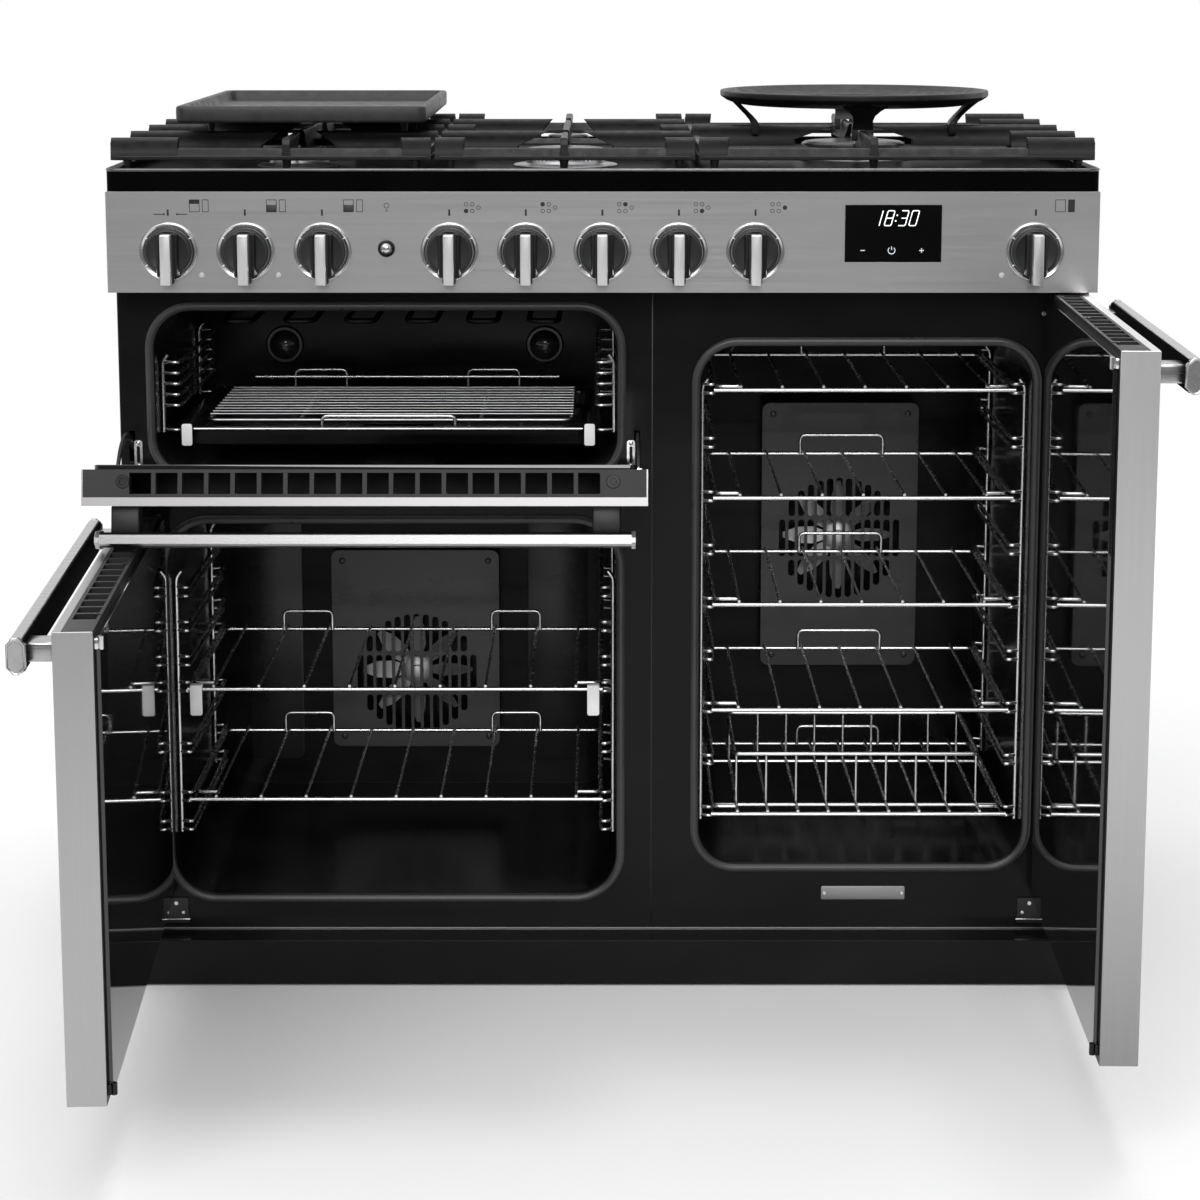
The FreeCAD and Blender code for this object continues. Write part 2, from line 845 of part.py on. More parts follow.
def burners():
    """The five burners: a stepped head on a dished ring over a cup in the hob, and a cap on each head."""
    bowls, caps = [], []
    floor = size.hob_top - size.hob_well
    for name, x, y, radius in burner_places():
        head, cup = size.burner_head, size.burner_cup
        ring = [(radius + size.bowl_lip, 0), (radius + size.bowl_lip, size.sheet), (radius, size.sheet * 2)]
        ring += [(radius * 0.94, head)]
        pieces = [
            lathe(f"{name}_ring", ring, ROUND_FLATS, (x, y, floor)),
            bar(f"{name}_cup", (x, y, floor - cup), radius * 0.55, cup + size.sheet),
        ]
        bowls.append(fuse(f"{name}_bowl", pieces))
        crown = [(radius * 0.98, 0), (radius, size.burner_cap / 2), (radius * 0.85, size.burner_cap)]
        caps.append(lathe(f"{name}_cap", crown, ROUND_FLATS, (x, y, floor + head)))
    node("burner_bowls", group("bowls", bowls))
    node("burner_caps", group("caps", caps))


def finger(name, start, reach, way, overhang):
    """A cast finger from a bar: its foot is reach long, its top runs on by the overhang."""
    x, y = start
    half, slim = size.finger_wide / 2, size.finger_wide / 2 - size.finger_draft
    low, top = size.support_low, size.support_top
    if way in ("+x", "-x"):
        sign = 1 if way == "+x" else -1
        ends = sorted((x, x + sign * reach), key=number_of)
        over = sorted((x, x + sign * (reach + overhang)), key=number_of)
        foot = (ends[0], y - half, low), (ends[1], y + half, top)
        crown = (over[0], y - slim), (over[1], y + slim)
    else:
        sign = 1 if way == "+y" else -1
        ends = sorted((y, y + sign * reach), key=number_of)
        over = sorted((y, y + sign * (reach + overhang)), key=number_of)
        foot = (x - half, ends[0], low), (x + half, ends[1], top)
        crown = (x - slim, over[0]), (x + slim, over[1])
    return wedge(name, foot[0], foot[1], crown[0], crown[1])


def pan_support(name, left, right, burner_x, burners_here):
    """A cast iron grate: a frame on feet, side fingers in rows, and fingers that point at each burner."""
    front, rear, wide = size.support_front, size.support_rear, size.bar_wide
    low, bar, top = size.support_low, size.support_bar, size.support_top
    middle = (front + rear) / 2
    pieces = [
        box(f"{name}_front_bar", (left, front, low), (right, front + wide, bar)),
        box(f"{name}_rear_bar", (left, rear - wide, low), (right, rear, bar)),
        box(f"{name}_left_bar", (left, front, low), (left + wide, rear, bar)),
        box(f"{name}_right_bar", (right - wide, front, low), (right, rear, bar)),
    ]
    left_long = size.outer_finger if name == "left" else size.inner_finger
    right_long = size.outer_finger if name == "right" else size.inner_finger
    half = size.finger_wide / 2
    rows = {"front": front + half, "rear": rear - half}
    if len(burners_here) > 1:
        rows["middle"] = middle
        pieces.append(box(f"{name}_cross_bar", (left, middle - wide / 2, low), (right, middle + wide / 2, bar)))
    for row, y in rows.items():
        pieces.append(finger(f"{name}_{row}_left", (left, y), left_long, "+x", size.finger_draft))
        pieces.append(finger(f"{name}_{row}_right", (right, y), right_long, "-x", size.finger_draft))
    if name == "right":
        for row, y in (("near", size.front_burner_y), ("far", size.rear_burner_y)):
            pieces.append(finger(f"{name}_{row}_outer", (right, y), right_long, "-x", size.finger_draft))
    for index, (y, radius) in enumerate(burners_here):
        clear = radius + size.finger_clear
        over = clear - size.finger_reach
        reach_left = burner_x - left - clear
        reach_right = right - burner_x - clear
        pieces.append(finger(f"{name}_{index}_left", (left, y), reach_left, "+x", over))
        pieces.append(finger(f"{name}_{index}_right", (right, y), reach_right, "-x", over))
        near = front if index == 0 else middle
        far = middle if index == 0 and len(burners_here) > 1 else rear
        pieces.append(finger(f"{name}_{index}_near", (burner_x, near), y - near - clear, "+y", over))
        pieces.append(finger(f"{name}_{index}_far", (burner_x, far), far - y - clear, "-y", over))
    floor = size.hob_top - size.hob_well
    foot = size.support_foot
    for spot, x in (("left", left + foot * 2), ("middle", burner_x), ("right", right - foot * 2)):
        for end, y in (("front", front + wide / 2), ("rear", rear - wide / 2)):
            pieces.append(wedge(
                f"{name}_foot_{spot}_{end}",
                (x - foot / 3, y - foot / 3, floor + size.play), (x + foot / 3, y + foot / 3, low + size.sheet),
                (x - foot / 2, y - foot / 2), (x + foot / 2, y + foot / 2),
            ))
    node(f"pan_support_{name}", fuse(f"{name}_support", pieces))


def pan_supports():
    """The three cast iron supports, side by side."""
    pair = (size.front_burner_y, size.rear_burner_y)
    left = list(zip(pair, (size.middle_burner, size.middle_burner)))
    centre = list(zip(pair, (size.large_burner, size.small_burner)))
    pan_support("left", size.left_support_left, size.left_support_right, size.left_burner_x, left)
    pan_support("centre", size.centre_support_left, size.centre_support_right, size.centre_burner_x, centre)
    wok = [(size.wok_burner_y, size.wok_burner)]
    pan_support("right", size.right_support_left, size.right_support_right, size.right_burner_x, wok)


def griddle():
    """The flat cast griddle: a rimmed plate on four feet that stand on the left support."""
    left, right = size.griddle_left, size.griddle_right
    front, rear = size.griddle_front, size.griddle_rear
    low, top, rim = size.griddle_low, size.griddle_top, size.griddle_rim
    plate = rounded("griddle_plate", (left, front, low), (right, rear, top), size.griddle_round, "z")
    well = rounded(
        "griddle_well",
        (left + rim, front + rim, low + size.griddle_floor), (right - rim, rear - rim, top + size.overrun),
        size.griddle_round - rim / 2, "z",
    )
    pieces = [cut("griddle_rimmed", plate, [well])]
    inset, foot = size.griddle_foot_inset, size.griddle_foot
    rows = (size.front_burner_y, size.rear_burner_y)
    for side, x in (("left", left + inset), ("right", right - inset)):
        for row, y in enumerate(rows):
            pieces.append(wedge(
                f"griddle_foot_{side}_{row}",
                (x - foot / 3, y - foot / 3, size.support_top + size.play), (x + foot / 3, y + foot / 3, low + size.sheet),
                (x - foot / 2, y - foot / 2), (x + foot / 2, y + foot / 2),
            ))
    node("griddle", fuse("griddle_on_feet", pieces))


def ring_leg(side, way):
    """One leg of the wok ring: a forked foot that straddles a finger, flared out to the band."""
    x, y = size.right_burner_x, size.wok_burner_y
    thick, waist, wide = size.ring_leg_thick / 2, size.ring_leg_waist, size.ring_leg_top
    reach, out = side * size.ring_leg_reach, side * (size.ring_outer - size.ring_thick * 1.5)
    slot = size.finger_wide / 2 + size.play
    rest, low = size.support_top + size.play, size.support_top - size.ring_leg_down
    top = size.ring_top - size.ring_thick
    name = f"ring_leg_{way}_{side + 1}"

    def corner(along, across, height=None):
        spot = (x + along, y + across) if way == "x" else (x + across, y + along)
        return spot if height is None else spot + (height,)

    prongs = [
        box(f"{name}_prong_{index}", corner(reach - thick, start, low), corner(reach + thick, end, rest + thick))
        for index, (start, end) in enumerate(((-waist, -slot), (slot, waist)))
    ]
    arm = wedge(
        f"{name}_arm",
        corner(reach - thick, -waist, rest), corner(reach + thick, waist, top),
        corner(out - thick, -wide), corner(out + thick, wide),
    )
    return [arm] + prongs


def wok_ring():
    """The cast ring for a round pan: a dished band on four flared legs."""
    outer, inner, thick = size.ring_outer, size.ring_inner, size.ring_thick
    low, top = size.ring_low, size.ring_top
    band = turned("ring_band", [
        (inner, low), (inner + thick, low), (outer, top - thick), (outer, top), (outer - thick, top), (inner, low + thick)
    ])
    place(band, (size.right_burner_x, size.wok_burner_y, 0))
    pieces = [band]
    for way in ("x", "y"):
        for side in (-1, 1):
            pieces += ring_leg(side, way)
    node("wok_ring", fuse("ring_on_legs", pieces))

# The control panel


def knob_places():
    """Each knob: name, x and what it works."""
    names = ("grill", "main_oven", "main_fan_oven")
    places = [(f"{names[step]}_knob", size.oven_knob_x + step * size.oven_knob_pitch, "oven")
              for step in range(OVEN_KNOBS)]
    burners_in_order = ("left_front", "left_rear", "centre_rear", "centre_front", "wok")
    places += [(f"{burners_in_order[step]}_knob", size.gas_knob_x + step * size.gas_knob_pitch, "gas")
               for step in range(GAS_KNOBS)]
    places.append(("tall_oven_knob", size.tall_knob_x, "oven"))
    return places


def lens_places():
    """The x of each indicator lens."""
    first = size.oven_knob_x + size.lens_side
    return (first, first + size.oven_knob_pitch, size.tall_knob_x - size.lens_side)


def control_panel():
    """The folded fascia, with holes for shafts, button, display and lenses."""
    half = size.body_width / 2
    low, top, back = size.face_top, size.panel_top, size.face_front
    shell = box("fascia_shell", (-half, size.panel_front, low), (half, back, top))
    inside = box(
        "fascia_inside",
        (-half + size.sheet, size.panel_front + size.sheet, low + size.sheet),
        (half - size.sheet, back + size.overrun, top + size.overrun),
    )
    tools = [inside]
    front, through = size.panel_front - size.overrun, size.sheet + 2 * size.overrun
    for name, x, _ in knob_places():
        tools.append(bar(f"{name}_hole", (x, front, size.knob_z), size.shaft_hole, through, "y"))
    for index, x in enumerate(lens_places()):
        tools.append(bar(f"lens_hole_{index}", (x, front, size.lens_z), size.lens_radius + size.play, through, "y"))
    radius = size.button_radius + size.play
    tools.append(rod("button_hole", (size.button_x, front, size.button_z), radius, through, "y"))
    play = size.play
    tools.append(box(
        "display_hole",
        (size.display_left - play, front, size.display_low - play),
        (size.display_right + play, front + through, size.display_high + play),
    ))
    node("control_panel", cut("fascia_open", shell, tools))


def display_and_lenses():
    """The clock's dark window and the small indicator lenses."""
    pieces = [box(
        "display_glass",
        (size.display_left, size.panel_front - size.display_proud, size.display_low),
        (size.display_right, size.panel_front + size.display_thick, size.display_high),
    )]
    length = size.display_proud + size.display_thick
    for index, x in enumerate(lens_places()):
        at = (x, size.panel_front - size.display_proud, size.lens_z)
        pieces.append(bar(f"lens_{index}", at, size.lens_radius, length, "y"))
    node("display_and_lenses", group("display_pieces", pieces))


def knob_bezels():
    """The bright ring behind each knob, and the dark one round the light button."""
    places = [(name, x, size.knob_z, size.bezel_outer, size.bezel_inner) for name, x, _ in knob_places()]
    places.append(("button", size.button_x, size.button_z, size.button_ring, size.button_radius + size.play))
    rings = []
    for name, x, z, outer, inner in places:
        at = (x, size.panel_front, z)
        ring = lathe(f"{name}_bezel", [(outer, 0), (outer - size.knob_bevel, size.bezel_proud)], ROUND_FLATS, at, "-y")
        start = (x, size.panel_front - size.bezel_proud - size.overrun, z)
        hole = bar(f"{name}_bezel_hole", start, inner, size.bezel_proud + 2 * size.overrun, "y", ROUND_FLATS)
        rings.append(cut(f"{name}_bezel_ring", ring, [hole]))
    node("knob_bezels", group("bezels", rings))


def knobs():
    """Nine knobs: a bevelled disc with a bar grip, on the spindle that it turns."""
    for name, x, _ in knob_places():
        gap, radius, deep, bevel = size.play, size.knob_radius, size.knob_disc, size.knob_bevel
        front = size.panel_front
        sections = [(radius, gap), (radius, deep - bevel), (radius - bevel, deep)]
        disc = lathe(f"{name}_disc", sections, ROUND_FLATS, (x, front, size.knob_z), "-y")
        half, slim = size.grip_wide / 2, size.grip_face / 2
        grip = doc.addObject("Part::Wedge", f"{name}_grip")
        bind(grip, Xmin=-half, Xmax=half, Ymin=deep - bevel, Ymax=size.knob_proud)
        bind(grip, Zmin=-size.grip_down, Zmax=size.grip_up)
        bind(grip, X2min=-slim, X2max=slim, Z2min=-size.grip_down + bevel, Z2max=size.grip_up - bevel)
        place(grip, (x, front, size.knob_z), "back")
        start = (x, front - deep + bevel, size.knob_z)
        spindle = bar(f"{name}_spindle", start, size.shaft_radius, deep - bevel + size.spindle_long, "y")
        node(name, fuse(f"{name}_whole", [disc, grip, spindle]))


def light_button():
    """The domed push button of the oven light."""
    at = (size.button_x, size.panel_front, size.button_z)
    radius, proud = size.button_radius, size.button_proud
    sections = [(radius, -size.display_thick), (radius, proud - size.knob_bevel), (radius - size.knob_bevel, proud)]
    node("light_button", lathe("button_dome", sections, FOOT_FLATS, at, "-y"))

# The doors


def door_edges(name):
    """A door's left, right, low and high edges."""
    if name == "tall":
        return size.tall_door_left, size.tall_door_right, size.door_low, size.door_top
    if name == "main":
        return size.left_door_left, size.left_door_right, size.door_low, size.main_door_top
    return size.left_door_left, size.left_door_right, size.grill_door_low, size.door_top


def hinge_notch(name, label):
    """The cut at the top of a side door's hinge edge that clears the fixed tongue as the door turns."""
    left, right, _, high = door_edges(name)
    near, far = size.door_front + size.door_lip, size.face_front
    if name == "main":
        ends = left - size.overrun, left + size.notch_wide
    else:
        ends = right - size.notch_wide, right + size.overrun
    return box(f"{name}_{label}_notch", (ends[0], near, high - size.notch_high), (ends[1], far, high + size.overrun))


def grill_pin_holes(label):
    """The two holes in the grill door's lower corners that its pins stand in."""
    left, right, _, _ = door_edges("grill")
    long = size.grill_pin_long + size.overrun
    holes = []
    for side, x in (("left", left - size.overrun), ("right", right - size.grill_pin_long)):
        at = (x, size.grill_pin_y, size.grill_pin_z)
        holes.append(rod(f"grill_{label}_pin_hole_{side}", at, size.pin_radius + size.pin_play, long, "x"))
    return holes


def door_skin(name):
    """The brushed front: a tray folded back at both sides, with a narrow lip at top and bottom."""
    left, right, low, high = door_edges(name)
    front, sheet_, over = size.door_front, size.sheet, size.overrun
    shell = box(f"{name}_skin_shell", (left, front, low), (right, front + size.door_deep, high))
    deep = box(
        f"{name}_skin_deep",
        (left + sheet_, front + size.door_lip, low - over),
        (right - sheet_, front + size.door_deep + over, high + over),
    )
    shallow = box(
        f"{name}_skin_shallow",
        (left + sheet_, front + sheet_, low + sheet_),
        (right - sheet_, front + size.door_lip, high - sheet_),
    )
    tools = [deep, shallow] + (grill_pin_holes("skin") if name == "grill" else [hinge_notch(name, "skin")])
    return cut(f"{name}_skin", shell, tools)


def door_frame(name):
    """The black frame inside a door: stiles, a slotted top rail and the blocks that the pins turn in."""
    left, right, low, high = door_edges(name)
    left, right = left + size.sheet, right - size.sheet
    near, far = size.door_front + size.door_lip, size.door_front + size.door_deep
    over, middle = size.overrun, (left + right) / 2
    whole = box(f"{name}_frame_block", (left, near, low), (right, far, high))
    tools = [box(
        f"{name}_frame_window",
        (left + size.stile, near - over, low + size.rail_high),
        (right - size.stile, far + over, high - size.rail_high),
    )]
    room = right - left - 2 * size.slot_end
    count = int(room.number / size.slot_pitch.number)
    slot_near = (near + far - size.slot_deep) / 2
    for step in range(count):
        x = middle + (step - (count - 1) / 2) * size.slot_pitch
        tools.append(box(
            f"{name}_vent_{step}",
            (x - size.slot_wide / 2, slot_near, high - size.rail_high - over),
            (x + size.slot_wide / 2, slot_near + size.slot_deep, high + over),
        ))
    frame = cut(f"{name}_frame_open", whole, tools)
    if name == "grill":
        blocks = []
        for side, ends in ((0, (left, left + size.block_wide)), (1, (right - size.block_wide, right))):
            blocks.append(box(f"grill_block_{side}", (ends[0], size.door_front + size.sheet, low + size.sheet),
                              (ends[1], near, low + size.block_high)))
        stays = [door_stay(side) for side in (-1, 1)]
        return cut("grill_frame", fuse("grill_frame_whole", [frame] + blocks + stays), grill_pin_holes("frame"))
    ends = (left, left + size.block_wide) if name == "main" else (right - size.block_wide, right)
    pin_x = (-1 if name == "main" else 1) * size.pin_x
    top = high - size.notch_high
    blocks = [
        box(f"{name}_top_block", (ends[0], near, high - size.block_high), (ends[1], far, high)),
        box(f"{name}_low_block", (ends[0], near, low), (ends[1], far, low + size.block_high)),
    ]
    radius, long = size.pin_radius + size.pin_play, size.pin_long + size.play
    holes = [
        hinge_notch(name, "frame"),
        rod(f"{name}_top_hole", (pin_x, size.pin_y, top - long), radius, long + over),
        rod(f"{name}_low_hole", (pin_x, size.pin_y, low - over), radius, long + over),
    ]
    return cut(f"{name}_frame", fuse(f"{name}_frame_whole", [frame] + blocks), holes)


def stay_x(side):
    """The x of a grill door stay, near the door's left or right edge."""
    if side < 0:
        return size.left_door_left + size.stay_inset
    return size.left_door_right - size.stay_inset


def door_stay(side):
    """A curved check strap of the grill door: part of a ring about the hinge, so it runs through its slot."""
    start, sweep = size.stay_start, size.stay_sweep
    inner, outer = size.stay_radius - size.stay_wide / 2, size.stay_radius + size.stay_wide / 2
    end = start - sweep
    dip = 1 - cosine(sweep / 2)
    points = [
        (inner * cosine(end), inner * sine(end)),
        (outer * cosine(end), outer * sine(end)),
        (outer * cosine(start), outer * sine(start)),
        (inner * cosine(start), inner * sine(start)),
    ]
    label = f"stay_{'left' if side < 0 else 'right'}"
    strap = padded(label, "YZ_Plane", points, size.stay_thick, {1: outer * dip, 3: -inner * dip})
    place(strap, (stay_x(side), size.grill_pin_y, size.grill_pin_z))
    return strap


def door_glass(name):
    """The inner glass panel."""
    left, right, low, high = door_edges(name)
    near = size.door_front + size.door_deep
    side, end = size.glass_side, size.glass_end
    return rounded(
        f"{name}_glass_panel",
        (left + side, near, low + end), (right - side, near + size.door_glass, high - end),
        size.glass_round,
    )


def door_handle(name):
    """The bar handle: a bar with curved faces, its two end caps and two square posts."""
    left, right, low, high = door_edges(name)
    ends = left + size.handle_inset, right - size.handle_inset
    middle = size.door_front - size.handle_proud + size.handle_deep / 2
    centre_z = high - size.handle_drop
    bulges = {1: size.handle_outer_bulge, 3: size.handle_inner_bulge}

    def profile(label, grow, thickness, x):
        flat, tall = size.handle_flat / 2 + grow, size.handle_high / 2 + grow
        piece = padded(label, "YZ_Plane", [(flat, tall), (-flat, tall), (-flat, -tall), (flat, -tall)],
                       thickness, bulges)
        place(piece, (x, middle, centre_z))
        return piece

    cap = size.handle_cap
    pieces = [profile(f"{name}_bar", 0, ends[1] - ends[0] - 2 * cap, (ends[0] + ends[1]) / 2)]
    for side, x in (("left", ends[0] + cap / 2), ("right", ends[1] - cap / 2)):
        pieces.append(profile(f"{name}_cap_{side}", size.handle_cap_lip, cap, x))
    inner = middle + size.handle_flat / 2
    for side, x in (("left", ends[0] + size.post_inset), ("right", ends[1] - size.post_inset - size.post_long)):
        pieces.append(box(
            f"{name}_post_{side}",
            (x, inner, centre_z - size.post_high / 2), (x + size.post_long, size.door_front, centre_z + size.post_high / 2),
        ))
    return fuse(f"{name}_handle", pieces)


def doors():
    """The three doors, made shut and then opened to the pose in which the cooker is shown."""
    hinges = {
        "main": ("z", (-size.pin_x, size.pin_y), -size.main_door_open),
        "tall": ("z", (size.pin_x, size.pin_y), size.tall_door_open),
        "grill": ("x", (size.grill_pin_y, size.grill_pin_z), size.grill_door_open),
    }
    for name, (axis, centre, angle) in hinges.items():
        parts = {
            "panel": door_skin(name),
            "frame": door_frame(name),
            "glass": door_glass(name),
            "handle": door_handle(name),
        }
        for part, piece in parts.items():
            swung = group(f"{name}_door_{part}_swung", [piece])
            swing(swung, axis, centre, angle)
            node(f"{name}_door_{part}", swung)


def tongue(name, x, z, back):
    """A flat tongue that carries a hinge pin: round at the pin, and straight back to the face plate."""
    radius, thick = size.tongue_radius, size.tongue_thick
    nose = rod(f"{name}_nose", (x, size.pin_y, z), radius, thick)
    strap = box(f"{name}_strap", (x - radius, size.pin_y, z), (x + radius, back, z + thick))
    return [nose, strap]


def door_hinges():
    """The fixed hinge parts: a bracket below and a tongue above each side door, and the grill door's ears."""
    pieces = []
    for name, side, high in (("main", -1, size.main_door_top), ("tall", 1, size.door_top)):
        x = side * size.pin_x
        lower = size.door_low - size.tongue_thick - size.play
        inner, outer = side * size.bracket_inner, side * (size.bracket_inner + size.bracket_wide)
        ends = sorted((inner, outer), key=number_of)
        plate = box(
            f"{name}_low_plate",
            (ends[0], size.face_front - size.bracket_thick, lower + size.tongue_thick - size.bracket_high),
            (ends[1], size.face_front, lower + size.tongue_thick),
        )
        pin = rod(f"{name}_low_pin", (x, size.pin_y, lower), size.pin_radius, size.tongue_thick + size.pin_long)
        pieces.append(fuse(f"{name}_low_hinge", tongue(f"{name}_low", x, lower, size.face_front) + [plate, pin]))
        upper = high - 2 * size.tongue_thick
        behind = size.face_front + size.face_sheet
        holder = box(
            f"{name}_top_holder",
            (x - size.tongue_radius * 1.5, behind, upper - size.bracket_high),
            (x + size.tongue_radius * 1.5, behind + size.bracket_thick, upper + size.tongue_thick),
        )
        drop = size.pin_long - size.play
        pin = rod(f"{name}_top_pin", (x, size.pin_y, upper - size.notch_high + size.tongue_thick * 2 - drop),
                  size.pin_radius, drop + size.notch_high - size.tongue_thick)
        pieces.append(fuse(f"{name}_top_hinge", tongue(f"{name}_top", x, upper, behind) + [holder, pin]))
    for side in (-1, 1):
        label = "left" if side < 0 else "right"
        edge = size.left_door_left if side < 0 else size.left_door_right
        x = edge - size.ear_thick - size.play if side < 0 else edge + size.play
        start = x if side < 0 else edge - size.grill_pin_long + size.overrun
        long = size.grill_pin_long - size.overrun + size.play + size.ear_thick
        y, z, radius = size.grill_pin_y, size.grill_pin_z, size.ear_radius
        pieces.append(fuse(f"grill_hinge_{label}", [
            rod(f"grill_ear_nose_{label}", (x, y, z), radius, size.ear_thick, "x"),
            box(f"grill_ear_{label}", (x, y, z - radius), (x + size.ear_thick, size.face_front, z + radius)),
            rod(f"grill_pin_{label}", (start, y, z), size.pin_radius, long, "x"),
        ]))
    node("door_hinges", group("hinges", pieces))


# The wire goods


def ladder(name, side, low, high, levels):
    """One side's shelf ladder: two posts by the wall, and a runner on two stubs for each level."""
    radius, inward = size.wire_radius, 1 if side == "left" else -1
    wall = getattr(size, f"{name}_{side}")
    reach = size.grill_runner_gap if name == "grill" else size.runner_gap
    post, runner = wall + inward * size.post_gap, wall + inward * reach
    stub = (post if side == "left" else runner) + radius
    front, rear = size.ladder_front, size.ladder_rear
    label = f"{name}_{side}"
    pieces = [wire(f"{label}_{end}_post", (post, y, low), high - low, "z", radius)
              for end, y in (("front", front), ("rear", rear))]
    for index, z in enumerate(levels):
        long = rear - front + 4 * radius
        pieces.append(wire(f"{label}_runner_{index}", (runner, front - 2 * radius, z), long, "y", radius))
        for end, y in (("front", front), ("rear", rear)):
            width = reach - size.post_gap - 2 * radius
            pieces.append(bar(f"{label}_stub_{end}_{index}", (stub, y, z), radius, width, "x", 4))
    return pieces


def runner_pair(z):
    """The heights of the two runners that a shelf slides between."""
    apart = size.wire_radius * (1 + FLAT_SHARE) + size.play
    return [z - apart, z + apart]


def shelf_ladders():
    """The side frames of the three cavities, with a pair of runners for each shelf."""
    radius = size.wire_radius
    main_levels = [z for level in (size.main_shelf_low, size.main_shelf_high) for z in runner_pair(level)]
    tall_levels = [z for step in range(TALL_SHELVES + 1)
                   for z in runner_pair(size.tall_shelf_low + step * size.tall_shelf_pitch)]
    grill_levels = [size.pan_rim_z - size.pan_sheet - size.play - radius * FLAT_SHARE]
    grill_levels += [size.grill_rung_low + step * size.grill_rung_pitch for step in range(GRILL_RUNGS)]
    pieces = []
    for side in ("left", "right"):
        pieces += ladder("main", side, size.main_ladder_low, size.main_ladder_high, main_levels)
        pieces += ladder("tall", side, size.tall_ladder_low, size.tall_ladder_high, tall_levels)
        pieces += ladder("grill", side, size.grill_ladder_low, size.grill_ladder_high, grill_levels)
    node("shelf_ladders", group("ladders", pieces))


def stand(name, x, wide, y, z):
    """A raised wire loop at the back of a shelf, which keeps pans off the wall."""
    radius, high = size.stand_wire, size.stand_high
    return [
        wire(f"{name}_left", (x - wide / 2, y, z), high, "z", radius),
        wire(f"{name}_right", (x + wide / 2, y, z), high, "z", radius),
        wire(f"{name}_top", (x - wide / 2 - radius, y, z + high + radius), wide + 2 * radius, "x", radius),
    ]


def shelf_sides(oven):
    """The x of the left and right side rails of an oven's shelves."""
    return getattr(size, f"{oven}_left") + size.shelf_inset, getattr(size, f"{oven}_right") - size.shelf_inset


def shelf(name, oven, z, count):
    """A wire shelf: two rails, two sides that turn in at the front, cross wires on top and loops at the back."""
    left, right = shelf_sides(oven)
    radius, thin, turn = size.wire_radius, size.thin_wire, size.shelf_turn
    front, rear = size.shelf_front, size.shelf_front + size.shelf_deep
    flat, wide = radius * FLAT_SHARE, right - left + 2 * radius
    near = front + size.shelf_turn_back
    pieces = [
        wire(f"{name}_front", (left - radius, front, z), wide, "x", radius),
        wire(f"{name}_rear", (left - radius, rear, z), wide, "x", radius),
        wire(f"{name}_left", (left, near + flat, z), rear - near - 2 * flat, "y", radius),
        wire(f"{name}_right", (right, near + flat, z), rear - near - 2 * flat, "y", radius),
        wire(f"{name}_left_turn", (left - radius, near, z), turn + radius + thin, "x", radius),
        wire(f"{name}_right_turn", (right - turn - thin, near, z), turn + radius + thin, "x", radius),
    ]
    lift = z + radius + thin * FLAT_SHARE
    for step in range(count):
        x = left + turn + step * (right - left - 2 * turn) / (count - 1)
        pieces.append(wire(f"{name}_wire_{step}", (x, front - radius, lift), rear - front + 2 * radius, "y", thin))
    middle, spread = (left + right) / 2, size.stand_spread
    y = rear - (radius + size.stand_wire) * FLAT_SHARE
    if oven == "main":
        pieces += stand(f"{name}_stand_left", middle - spread, size.stand_wide, y, z)
        pieces += stand(f"{name}_stand_right", middle + spread, size.stand_wide, y, z)
    else:
        pieces += stand(f"{name}_stand", middle, size.tall_stand_wide, y, z)
    return pieces


def shelves():
    """Two shelves in the wide oven and four in the tall one."""
    for name, z in (("lower", size.main_shelf_low), ("upper", size.main_shelf_high)):
        label = f"main_shelf_{name}"
        node(label, group(f"{label}_wires", shelf(label, "main", z, MAIN_WIRES)))
    for step in range(TALL_SHELVES):
        label = f"tall_shelf_{step + 1}"
        z = size.tall_shelf_low + (step + 1) * size.tall_shelf_pitch
        node(label, group(f"{label}_wires", shelf(label, "tall", z, TALL_WIRES)))


def plate_rack():
    """The lowest shelf of the tall oven, with two rows of posts and rails that hold plates on edge."""
    z, high = size.tall_shelf_low, size.plate_rack_high
    pieces = shelf("plate_rack", "tall", z, PLATE_WIRES)
    radius, thin = size.wire_radius, size.thin_wire
    left, right = shelf_sides("tall")
    turn = size.shelf_turn
    pitch = (right - left - 2 * turn) / (PLATE_WIRES - 1)
    foot = z + radius + 2 * thin * FLAT_SHARE
    near, far = size.plate_rack_front, size.plate_rack_front + size.plate_rack_deep
    first, wide = left + turn - 2 * thin, right - left - 2 * turn + 4 * thin
    for label, y in (("near", near), ("far", far)):
        pieces.append(wire(f"plate_rail_{label}", (first, y, z + high), wide, "x", radius))
        pieces.append(wire(f"plate_base_{label}", (left + radius, y, z), right - left - 2 * radius, "x", radius))
        for step in range(PLATE_WIRES):
            at = (left + turn + step * pitch, y, foot)
            pieces.append(wire(f"plate_post_{label}_{step}", at, z + high - radius - foot, "z", thin))
    flat = radius * FLAT_SHARE
    for label, x in (("left", first + radius), ("right", first + wide - radius)):
        pieces.append(wire(f"plate_tie_{label}", (x, near + flat, z + high), far - near - 2 * flat, "y", radius))
    node("plate_rack", group("plate_rack_wires", pieces))


